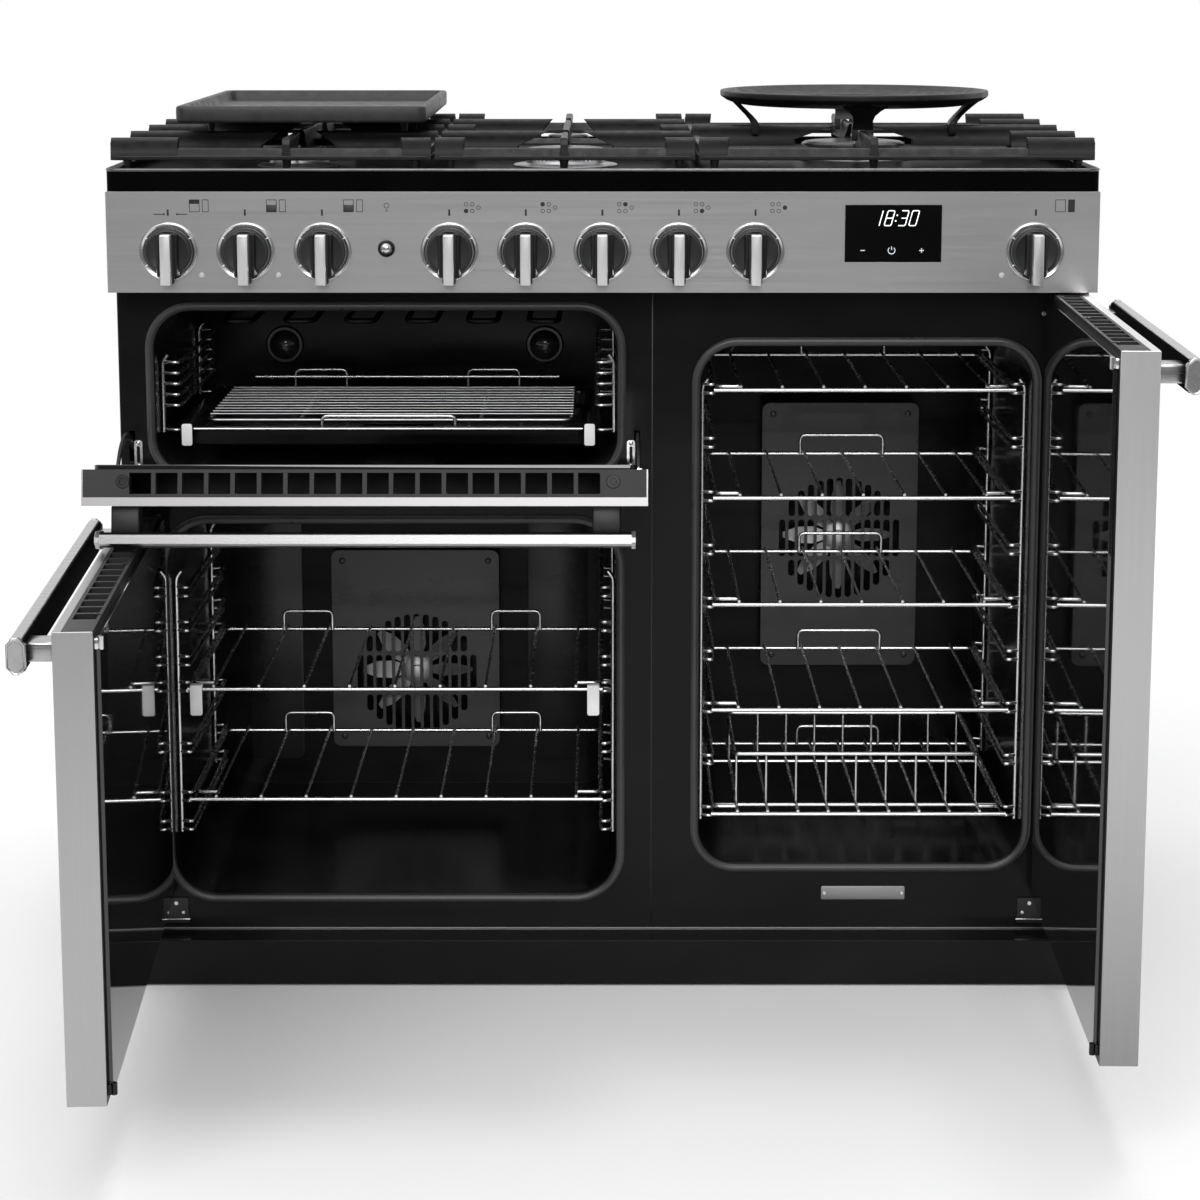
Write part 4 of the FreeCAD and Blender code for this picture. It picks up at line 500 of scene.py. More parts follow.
INK_DARK = Ink("dark_ink", (0.006, 0.006, 0.006))
INK_WHITE = Ink("white_ink", (0.9, 0.92, 0.95), 0.9)
# glows: on the printed bezel marks, which are no lamp, the glow is painted light
INK_PALE_GLOW = Ink("pale_ink_glow", (0.6, 0.62, 0.65), 0.35)


# Mesh building


def angles(count: int) -> list[float]:
    """Equal steps round a full turn, in radians."""
    return [2 * math.pi * step / count for step in range(count)]


def outline(left: float, right: float, low: float, high: float, radius: float,
            steps: int = 6) -> list[Spot]:
    """A rectangle with round corners, anticlockwise from its lower right corner.

    Args:
        left: The least first coordinate.
        right: The greatest first coordinate.
        low: The least second coordinate.
        high: The greatest second coordinate.
        radius: The corners' radius.
        steps: The faces in each corner.

    Returns:
        The points.
    """
    corners = ((right, low, -90), (right, high, 0), (left, high, 90), (left, low, 180))
    points = []
    for x, y, start in corners:
        centre_x = x - math.copysign(radius, x - (left + right) / 2)
        centre_y = y - math.copysign(radius, y - (low + high) / 2)
        for step in range(steps + 1):
            angle = math.radians(start + 90 * step / steps)
            points.append((centre_x + radius * math.cos(angle), centre_y + radius * math.sin(angle)))
    return points


def lift(points: list[Spot], height: float, axis: Axis) -> list[Point]:
    """Put flat points at a height along an axis.

    Args:
        points: The flat points.
        height: Their place along the axis.
        axis: The axis across the points' plane.

    Returns:
        The points in space.
    """
    if axis is Axis.X:
        return [(height, u, v) for u, v in points]
    if axis is Axis.Y:
        return [(u, height, v) for u, v in points]
    return [(u, v, height) for u, v in points]


def bent(points: list[Point], bend: float, steps: int = 4) -> list[Vector]:
    """Round the corners of a line.

    Args:
        points: The corners.
        bend: How far from each corner its curve starts.
        steps: The pieces of each curve.

    Returns:
        The points of the rounded line.
    """
    line = [Vector(point) for point in points]
    if bend <= 0:
        return line
    result = [line[0]]
    for before, here, after in zip(line, line[1:], line[2:]):
        back, ahead = before - here, after - here
        start = here + back.normalized() * min(bend, back.length / 2.05)
        end = here + ahead.normalized() * min(bend, ahead.length / 2.05)
        for step in range(steps + 1):
            share = step / steps
            result.append(start * (1 - share) ** 2 + here * 2 * share * (1 - share) + end * share ** 2)
    result.append(line[-1])
    return result


@dataclass
class Mould:
    """A mesh under construction, with its points in millimetres, turned as a whole when it is cast."""

    name: str
    turn: Matrix = field(default_factory=lambda: Matrix.Identity(4))

    def __post_init__(self) -> None:
        """Start an empty form."""
        self.form = bmesh.new()

    def skin(self, rings: Sequence, closed: bool = False) -> None:
        """Join rings of points by faces.

        Args:
            rings: The rings, each with the same number of points.
            closed: Whether the last ring joins the first; if not, both get end faces.
        """
        rows = [[self.form.verts.new(point) for point in ring] for ring in rings]
        following = rows[1:] + ([rows[0]] if closed else [])
        for near, far in zip(rows, following):
            for index in range(len(near)):
                after = (index + 1) % len(near)
                self.form.faces.new((near[index], near[after], far[after], far[index]))
        if not closed:
            self.form.faces.new(list(reversed(rows[0])))
            self.form.faces.new(rows[-1])

    def stack(self, box: Box, levels: Iterable[Point], axis: Axis = Axis.Z, steps: int = 6,
              closed: bool = False) -> None:
        """Join outlines along an axis.

        Args:
            box: The least and greatest of both coordinates.
            levels: Each outline's inset into the box, its height and its corner radius.
            axis: The direction of the heights.
            steps: The faces in each corner.
            closed: Whether the last outline joins the first.
        """
        left, right, low, high = box
        self.skin([
            lift(outline(left + inset, right - inset, low + inset, high - inset, corner, steps), height, axis)
            for inset, height, corner in levels
        ], closed)

    def prism(self, points: list[Spot], low: float, high: float) -> None:
        """Extrude a flat outline along X."""
        self.skin([lift(points, low, Axis.X), lift(points, high, Axis.X)])

    def lathe(self, profile: Sequence[Spot], *places: Point, axis: Axis = Axis.Y, sides: int = 20,
              closed: bool = False) -> None:
        """Turn a profile about an axis at each place.

        Args:
            profile: The radius and height of each point.
            places: Where the profile's zero lies.
            axis: Z, or Y with the heights towards the viewer.
            sides: The faces round the axis.
            closed: Whether the profile is a closed section.
        """
        turns = angles(sides)
        for x, y, z in places:
            rings = []
            for radius, height in profile:
                spots = [(radius * math.cos(turn), radius * math.sin(turn)) for turn in turns]
                if axis is Axis.Z:
                    rings.append([(x + u, y + v, z + height) for u, v in spots])
                else:
                    rings.append([(x + u, y - height, z + v) for u, v in spots])
            self.skin(rings, closed)

    def slab(self, low: Point, high: Point, edge: float = 1.0, corner: float | None = None,
             axis: Axis = Axis.Z) -> None:
        """A block with rounded rims and corners.

        Args:
            low: The lowest corner.
            high: The highest corner.
            edge: The radius of the rims.
            corner: The radius of the corners along the axis, the rims' by default.
            axis: The direction that these corners run along.
        """
        first, second = [index for index in range(3) if index != axis.value]
        corner = edge if corner is None else corner
        rims = [(0, edge), (0.3 * edge, 0.3 * edge), (edge, 0)]
        levels = [(inset, low[axis.value] + height) for height, inset in rims]
        levels += [(inset, high[axis.value] - height) for height, inset in reversed(rims)]
        levels = [(inset, height, max(corner - inset, LEAST_CORNER)) for inset, height in levels]
        self.stack((low[first], high[first], low[second], high[second]), levels, axis, 4)

    def wire(self, points: list[Point], radius: float, bend: float = 0.0, sides: int = 10) -> None:
        """A round wire along a line with rounded corners.

        Args:
            points: The line's corners.
            radius: The wire's radius.
            bend: How far from each corner its curve starts.
            sides: The faces round the wire.
        """
        raw = bent(points, bend)
        line = raw[:1] + [spot for before, spot in zip(raw, raw[1:]) if (spot - before).length > LEAST_STEP]
        heading = (line[1] - line[0]).normalized()
        side = heading.orthogonal().normalized()
        rings = []
        for index, spot in enumerate(line):
            ahead = (line[min(index + 1, len(line) - 1)] - line[max(index - 1, 0)]).normalized()
            side = (heading.rotation_difference(ahead) @ side).normalized()
            heading = ahead
            other = heading.cross(side)
            rings.append([spot + side * radius * math.cos(turn) + other * radius * math.sin(turn)
                          for turn in angles(sides)])
        self.skin(rings)

    def sheet(self, outer: list[Spot], holes: list[list[Spot]], front: float, thick: float) -> None:
        """A flat upright plate with holes, facing the viewer.

        Args:
            outer: Its outline in X and Z.
            holes: The outlines of its holes.
            front: The place of its front along Y.
            thick: Its thickness.
        """
        curve = bpy.data.curves.new("plate", "CURVE")
        curve.dimensions, curve.fill_mode, curve.extrude = "2D", "BOTH", thick / 2
        for loop in [outer, *holes]:
            spline = curve.splines.new("POLY")
            spline.points.add(len(loop) - 1)
            for point, (u, v) in zip(spline.points, loop):
                point.co = (u, v, 0, 1)
            spline.use_cyclic_u = True
        holder = bpy.data.objects.new("plate", curve)
        flat = bpy.data.meshes.new_from_object(holder)
        flat.transform(Matrix(((1, 0, 0, 0), (0, 0, 1, front + thick / 2), (0, 1, 0, 0), (0, 0, 0, 1))))
        self.form.from_mesh(flat)
        bpy.data.objects.remove(holder)
        bpy.data.curves.remove(curve)
        bpy.data.meshes.remove(flat)

    def cast(self, finish: Finish, slot: str, *replaces: str, body: str = "cooker",
             bevel: float = 0.0) -> None:
        """Turn the form into an object of the scene.

        Args:
            finish: Its surface.
            slot: The record's material slot; not used.
            replaces: The CAD nodes that it stands for.
            body: The body that it rides on.
            bevel: The width of a bevel on its sharp edges.
        """
        bmesh.ops.remove_doubles(self.form, verts=self.form.verts, dist=0.0005)
        self.form.transform(Matrix.Diagonal((MM, MM, MM, 1)) @ self.turn)
        bmesh.ops.recalc_face_normals(self.form, faces=self.form.faces)
        mesh = bpy.data.meshes.new(self.name)
        self.form.to_mesh(mesh)
        self.form.free()
        mesh.shade_smooth()
        mesh.set_sharp_from_angle(angle=SHARP)
        mesh.materials.append(finish.material())
        piece = bpy.data.objects.new(self.name, mesh)
        bpy.context.scene.collection.objects.link(piece)
        if bevel:
            round_edges(piece, bevel)
        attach(piece, body)
        if replaces:
            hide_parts(*replaces)
        LOG.info("%s: %d faces on %s", self.name, len(mesh.polygons), body)


def round_edges(piece: bpy.types.Object, width: float, weld: bool = False) -> None:
    """Bevel the sharp edges of a piece, in millimetres, with smooth normals.

    Args:
        piece: The piece.
        width: The bevel's width.
        weld: Whether flat faces that meet are joined first.
    """
    if weld:
        piece.modifiers.new("weld", "WELD").merge_threshold = 1e-5
        flat = piece.modifiers.new("flat", "DECIMATE")
        flat.decimate_type, flat.angle_limit = "DISSOLVE", math.radians(1)
    bevel = piece.modifiers.new("edge", "BEVEL")
    bevel.width, bevel.segments, bevel.limit_method = width * MM, 2, "ANGLE"
    bevel.angle_limit = BEVELLED
    bevel.use_clamp_overlap = True
    piece.modifiers.new("normals", "WEIGHTED_NORMAL").keep_sharp = False


def dress(finish: Finish, bevel: float, *nodes: str) -> None:
    """Give kept CAD nodes their surface and softened edges.

    Args:
        finish: Their surface.
        bevel: The width of the bevel.
        nodes: The nodes' names.
    """
    for node in nodes:
        piece = NODES[node]
        piece.data.materials.clear()
        piece.data.materials.append(finish.material())
        round_edges(piece, bevel, True)
        LOG.info("%s: kept, %s", node, finish.name)


# The studio


@dataclass
class Studio:
    """The camera, the lamps, the world and the floor, in metres and degrees."""

    distance: float = 3.022
    height: float = 1.157
    pitch: float = 9.194
    lens: float = 82.05
    sensor: float = 36.0
    shift: Spot = (-0.0023, -0.155)
    dim: float = 0.12
    plain: float = 0.66
    floor_radius: float = 3.4
    lamps: tuple[tuple[str, float, Point, float], ...] = (
        ("key", 1.1, (42, -22, 0), 50), ("top", 0.5, (-14, 6, 0), 14), ("fill", 0.9, (68, 4, 0), 24),
    )

    def camera(self) -> None:
        """Stand the camera where the photograph was taken."""
        data = bpy.data.cameras.new("camera")
        data.lens, data.sensor_width = self.lens, self.sensor
        data.shift_x, data.shift_y = self.shift
        camera = bpy.data.objects.new("camera", data)
        camera.location = (0, -self.distance, self.height)
        camera.rotation_euler = (math.radians(90 - self.pitch), 0, 0)
        bpy.context.scene.collection.objects.link(camera)
        bpy.context.scene.camera = camera

    def world(self) -> None:
        """White for the camera, darker behind the viewer for reflections, and plain for the light."""
        world = bpy.data.worlds.new("world")
        world.use_nodes = True
        bpy.context.scene.world = world
        paint = Paint(world.node_tree)
        camera, glossy, through = (paint.add("ShaderNodeLightPath", output=f"Is {kind} Ray")
                                   for kind in ("Camera", "Glossy", "Transmission"))
        mirror = (glossy + through).spread(0, 1)
        way = paint.place("Generated")
        back, high = paint.part(way, "Y"), paint.part(way, "Z")
        glow = back.spread(-0.9, 0.1, self.dim, 1.0).largest(high.spread(0.2, 0.8, self.dim, 1.1))
        strength = camera + (1 - camera) * (mirror * glow + (1 - mirror) * self.plain)
        light = paint.add("ShaderNodeBackground", {}, {"Color": (1, 1, 1, 1), "Strength": strength})
        paint.add("ShaderNodeOutputWorld", {}, {"Surface": light})

    def lamp(self, name: str, strength: float, tilt: Point, angle: float) -> None:
        """A wide soft sun.

        Args:
            name: Its name.
            strength: Its strength.
            tilt: Its turns, in degrees.
            angle: Its width in the sky, in degrees.
        """
        data = bpy.data.lights.new(name, "SUN")
        data.energy, data.angle = strength, math.radians(angle)
        lamp = bpy.data.objects.new(name, data)
        lamp.rotation_euler = tuple(math.radians(part) for part in tilt)
        bpy.context.scene.collection.objects.link(lamp)

    def floor(self) -> None:
        """A wide pale floor."""
        form = bmesh.new()
        bmesh.ops.create_circle(form, cap_ends=True, cap_tris=False, segments=96, radius=self.floor_radius)
        mesh = bpy.data.meshes.new("floor")
        form.to_mesh(mesh)
        form.free()
        material = bpy.data.materials.new("floor_white")
        material.use_nodes = True
        paint = Paint(material.node_tree)
        cloud = paint.noise(2.0, 3.0)
        paint.surface(Base_Color=paint.blend(cloud, grey(0.93, 1.0), grey(0.95, 1.0)),
                      Roughness=cloud.spread(0.2, 0.8, 0.75, 0.85), Specular_IOR_Level=0.1)
        mesh.materials.append(material)
        floor = bpy.data.objects.new("floor", mesh)
        bpy.context.scene.collection.objects.link(floor)

    def build(self) -> None:
        """Set up the whole studio."""
        self.camera()
        self.world()
        for lamp in self.lamps:
            self.lamp(*lamp)
        self.floor()
        bpy.context.scene.view_settings.view_transform = "Standard"


# The sub-assemblies, each point in millimetres

# Turned profiles: radius and height
PANEL_SCREW = ((4.2, 0.1), (4.2, -0.1), (3.4, -0.18), (1.2, -0.2))
GUIDE_SCREW = ((2.4, 0), (2.4, 1.2), (1.6, 1.8), (0.3, 1.9))
FACE_SCREW = ((2.6, 0), (2.6, 0.6), (2.1, 1.2), (1.1, 1.3), (1.0, 0.6), (0.2, 0.6))
LIP_SCREW = ((2.2, 0), (2.2, 0.4), (1.7, 0.9), (0.3, 1.0))
COVER_SCREW = ((4, 0), (4, 1.2), (3, 2), (0.8, 2.1))
STAY_SCREW = ((0.4, -24.8), (2.4, -24.6), (3.2, -23.8), (3.2, -23.0))
SOCKET_BOLT = ((7.2, 0), (7.2, 0.9), (6.6, 1.4), (3.6, 1.4), (3.3, 0.3), (0.4, 0.3))
CATCH_ROLLER = ((2.6, -6), (3.1, -5.5), (3.1, 5.5), (2.6, 6))
FOOT_NUT = ((10, 10), (11, 11), (11, 17), (10, 18))
FAN_HUB = ((20, -3), (20, 1), (17, 4), (8, 6), (7, 10), (1, 11))
INSULATOR = ((6, 0), (6, 6), (5, 8))
LAMP_RIM = ((24, 0), (24, 2.5), (22, 5), (19, 5), (18, 3), (18, 0))
LAMP_DOME = ((18.5, 0), (18, 5), (14, 9), (8, 11.5), (1, 12.5))
BEZEL = ((32, 0), (32, 1.4), (31.9, 3.4), (31.5, 4.3), (31, 4.5), (30.4, 4.4), (26.5, 2.7), (26.4, 0))
COLLAR = ((9.4, 0), (9.4, 2), (8.6, 3.6), (7.6, 4.2), (6.8, 3.4), (6.7, 0))
KNOB_DISC = ((25.5, 0.3), (25.5, 6.6), (25, 8), (24, 8.8), (22.6, 9), (21.8, 8.4), (8, 8.2), (1, 8.2))
BUTTON_CAP = ((6.4, -1), (6.4, 4), (6.2, 6), (5.2, 7.8), (3.4, 8.7), (0.6, 9))
LENS = ((3.2, 0), (3.2, 0.5), (2.6, 1.1), (1.6, 1.5), (0.3, 1.7))
IGNITER = ((3.4, 2.4), (3.4, 5), (2.2, 6), (2.2, 13), (1.2, 14))
PROBE = ((3, 2.4), (3, 6), (2, 7), (2, 14.5), (1, 15.5))
WOK_RIM = (
    (112, 1000.4), (112.6, 1000), (120, 1000), (134, 1000.2), (143, 1001.6), (152, 1005), (158.8, 1009.4),
    (160, 1011), (160, 1015.8), (159, 1016.9), (156, 1017), (153.4, 1016.2), (146, 1011.6), (136, 1008),
    (124, 1006.9), (114, 1006.8), (112, 1005.6),
)


@dataclass
class Carcass:
    """The folded cabinet, the feet and the sheet behind."""

    foot_spots: tuple[Spot, ...] = ((-480, 93), (480, 93), (-480, 518), (480, 518))
    pad: float = 22.0
    stud: float = 6.0
    rear: float = 577.8
    guide_front: float = 29.7

    def feet(self) -> None:
        """Levelling feet: a hexagon foot on a round pad under a threaded stud."""
        pads, studs = Mould("foot_pads"), Mould("foot_studs")
        wide, core = self.pad, self.stud - 0.7
        disc = [(wide - 4, 0), (wide, 2), (wide, 6), (wide - 3, 9), (9, 9)]
        thread = []
        for turn in range(20):
            z = 9 + turn * 1.75
            thread += [(core, z), (self.stud, z + 0.85)]
        for x, y in self.foot_spots:
            pads.lathe(disc, (x, y, 0), axis=Axis.Z, sides=48)
            studs.lathe(thread + [(core, 44)], (x, y, 0), axis=Axis.Z, sides=24)
            studs.lathe(FOOT_NUT, (x, y, 0), axis=Axis.Z, sides=6)
        pads.cast(PLASTIC_GREY, "galvanised", "levelling_feet")
        studs.cast(SCREW_STEEL, "galvanised")

    def screws(self) -> None:
        """Screws along the back panel's edges."""
        heads = Mould("panel_screws")
        heads.lathe(PANEL_SCREW, *((x, self.rear, z) for z in (90, 300, 520, 740, 900) for x in (-532, 532)))
        heads.cast(SCREW_STEEL, "galvanised")

    def front_bits(self) -> None:
        """The bare plate, the joint between the two halves, stay guides, small screws and hinge lips."""
        plate = Mould("bare_plate")
        plate.slab((254, 30.2, 90.6), (351, 31, 106.6), 0.3, 1.5, Axis.Y)
        plate.cast(STEEL_PLATE, "black_enamel")
        joint = Mould("face_joint")
        joint.slab((55.2, 30.7, 62), (56.6, 31.1, 800), 0.1)
        joint.cast(KNOB_BLACK, "black_enamel")
        guides, front = Mould("stay_guides"), self.guide_front
        for x in (-526, 32):
            hole = outline(x - 1.8, x + 1.8, 607, 626, 1.6)
            guides.sheet(outline(x - 4.6, x + 4.6, 599, 633, 3), [hole], front, 1.2)
            guides.lathe(GUIDE_SCREW, (x, front, 603), (x, front, 629.6))
        guides.cast(SCREW_STEEL, "hinge_steel")
        heads = Mould("face_screws")
        heads.lathe(FACE_SCREW, *((x, 30.2, 98.6) for x in (257.5, 347.5)), (496, 31, 777), (505, 31, 777),
                    *((x, 28.5, 86.6) for x in (-496, -511, 496, 511)))
        heads.cast(SCREW_STEEL, "hinge_steel")
        lips = Mould("hinge_lips")
        for x in (-499, 499):
            lips.slab((x - 19, 26.4, 67.0), (x + 19, 28.4, 68.6), 0.4)
            lips.lathe(LIP_SCREW, (x - 11, 28.5, 75.5), (x + 11, 28.5, 75.5), sides=16)
        lips.cast(BRIGHT_STEEL, "hinge_steel")

    def build(self) -> None:
        """Dress the kept sheets and make the feet."""
        self.front_bits()
        dress(ZINC, 0.8, "base_tray")
        dress(ENAMEL_FACE, 1.0, "plinth")
        dress(PAINT_BLACK, 0.6, "side_panels")
        dress(ZINC, 0.4, "back_panel")
        dress(ENAMEL_FACE, 0.8, "face_plate")
        self.feet()
        self.screws()


@dataclass(frozen=True)
class Cavity:
    """The inside of one oven."""

    left: float
    right: float
    low: float
    high: float
    corner: float


@dataclass(frozen=True)
class Fan:
    """A fan's place, and the cover before it."""

    name: str
    x: float
    z: float
    cover: Box


GRILL = Cavity(-505, 16, 594, 780, 42)
MAIN = Cavity(-496, 15, 98, 536, 48)
TALL = Cavity(111, 485, 135, 740, 42)
FANS = (Fan("main_fan", -241, 258, (-350, -134, 160, 421)), Fan("tall_fan", 304, 437, (204, 404, 269, 613)))
LAMPS = ((-403, 418, 690), (-73.5, 418, 690), (150, 468, 690), (-440, 468, 470))


@dataclass
class Linings:
    """Oven linings, their seals, the fan covers, fans and elements."""

    seal_in: float = 1.2
    seal_half: float = 4.5
    slot_pitch: float = 12.2
    slot_half: float = 4.05
    slot_reach: float = 78.8
    slot_ends: Spot = (24.2, 28.6)
    cover_front: float = 428.0
    fan_plane: float = 448.0
    blades: int = 8
    sheet: float = 0.9
    ring_radius: float = 86.0
    rod: float = 3.4

    def seals(self) -> None:
        """The rubber bead round each opening."""
        bead = Mould("seal_beads")
        half = self.seal_half
        section = ((-half, 31), (-half, 28.4), (-2.4, 26.2), (0, 25.4), (2.4, 26.2), (half, 28.4), (half, 31))
        for cavity in (GRILL, MAIN, TALL):
            outs = [(self.seal_in + half + offset, y) for offset, y in section]
            bead.stack((cavity.left, cavity.right, cavity.low, cavity.high),
                       [(-out, y, cavity.corner + out) for out, y in outs], Axis.Y, 10, True)
        bead.cast(RUBBER, "seal_rubber", "door_seals")

    def slots(self, fan: Fan) -> list[list[Spot]]:
        """The columns of slots in front of a fan, which fill a circle.

        Args:
            fan: The fan.

        Returns:
            The slots' outlines.
        """
        holes = []
        half, (inner, outer) = self.slot_half, self.slot_ends
        for column in range(-6, 7):
            across = column * self.slot_pitch
            spans = [(-inner, inner)]
            if abs(column) <= 5:
                reach = math.sqrt(self.slot_reach ** 2 - across ** 2)
                spans += [(outer, reach), (-reach, -outer)]
            middle = fan.x + across
            holes += [outline(middle - half, middle + half, fan.z + low, fan.z + high, half - 0.05, 4)
                      for low, high in spans if high - low > 2 * half]
        return holes

    def covers(self) -> None:
        """A pressed cover before each fan, with its slots, folded sides and screws."""
        plates, screws = Mould("fan_cover_plates"), Mould("fan_cover_screws")
        front = self.cover_front
        for fan in FANS:
            left, right, low, high = fan.cover
            plates.sheet(outline(left, right, low, high, 10, 5), self.slots(fan), front, 1.5)
            for start in (left, right - 1.5):
                plates.slab((start, front + 1, low + 8), (start + 1.5, 467.5, high - 8), 0.3)
            screws.lathe(COVER_SCREW, *((x, front, z) for x in (left + 14, right - 14)
                                        for z in (low + 14, high - 14)))
        plates.cast(ENAMEL_COVER, "oven_enamel", "fan_baffles", bevel=0.3)
        screws.cast(ENAMEL_COVER, "oven_enamel")

    def walls(self) -> None:
        """Raised fields on the wide oven's back wall, either side of the fan cover, in an enamel ten times
        lighter than the liner's: painted light on the wall.
        """
        lit_fields = Mould("back_wall_painted_light_fields")
        for left, right in ((-462, -392), (-98, -20)):
            lit_fields.slab((left, 465.6, 132), (right, 467.9, 504), 1.0, 12, Axis.Y)
        lit_fields.cast(ENAMEL_WALL_PAINTED_LIGHT, "oven_enamel")

    def fan(self, fan: Fan) -> None:
        """A pressed fan: a hub and twisted blades.

        Args:
            fan: Its place.
        """
        wheel = Mould(f"{fan.name}_blades")
        x, y, z = fan.x, self.fan_plane, fan.z
        wheel.lathe(FAN_HUB, (x, y, z), sides=32)
        for start in angles(self.blades):
            rings = []
            for radius, spread, tilt in ((17, 0.3, 3), (34, 0.3, 6), (54, 0.17, 6.5), (71, 0.04, 3)):
                ends = [(x + radius * math.cos(start + turn), y + lean, z + radius * math.sin(start + turn))
                        for turn, lean in ((-spread, tilt), (spread, -tilt))]
                rings.append(ends + [(u, v + self.sheet, w) for u, v, w in reversed(ends)])
            wheel.skin(rings)
        wheel.cast(STEEL_FAN_PAINTED_LIGHT, "fan_steel", fan.name, body=f"{fan.name}_body")

    def elements(self) -> None:
        """Ring elements round the fans and the grill's hairpins under its roof."""
        rods, ends = Mould("element_rods"), Mould("element_insulators")
        loop = [(self.ring_radius + self.rod * math.cos(turn), self.rod * math.sin(turn))
                for turn in angles(10)]
        for fan in FANS:
            x, z = fan.x, fan.z
            rods.lathe(loop, (x, 448, z), (x, 455, z), sides=72, closed=True)
            for end in (x - 8, x + 8):
                rods.wire([(end, 452, z - 86), (end, 452, z - 96), (end, 466, z - 100)], 3.0, 6)
        near, far, z = 108, 417.7, 759
        for step in range(6):
            x = -421 + 70.6 * step
            left, right = x - 17, x + 17
            rods.wire([(left, far, z), (left, near, z), (right, near, z), (right, far, z)], 3.3, 16)
            ends.lathe(INSULATOR, (left, 417.6, z), (right, 417.6, z))
        rods.cast(ELEMENT_STEEL, "element_steel", "oven_elements")
        ends.cast(CERAMIC, "element_steel")

    def lamps(self) -> None:
        """The round lamp glasses in the back walls."""
        rims, glass = Mould("lamp_rims"), Mould("lamp_glasses")
        rims.lathe(LAMP_RIM, *LAMPS, sides=40, closed=True)
        glass.lathe(LAMP_DOME, *LAMPS, sides=40)
        rims.cast(ENAMEL_COVER, "oven_enamel")
        glass.cast(LAMP_GLASS, "oven_enamel")

    def build(self) -> None:
        """Dress the linings and make what stands in them."""
        dress(ENAMEL_OVEN, 1.2, "grill_liner", "main_oven_liner", "tall_oven_liner")
        self.seals()
        self.covers()
        self.walls()
        for fan in FANS:
            self.fan(fan)
        self.elements()
        self.lamps()


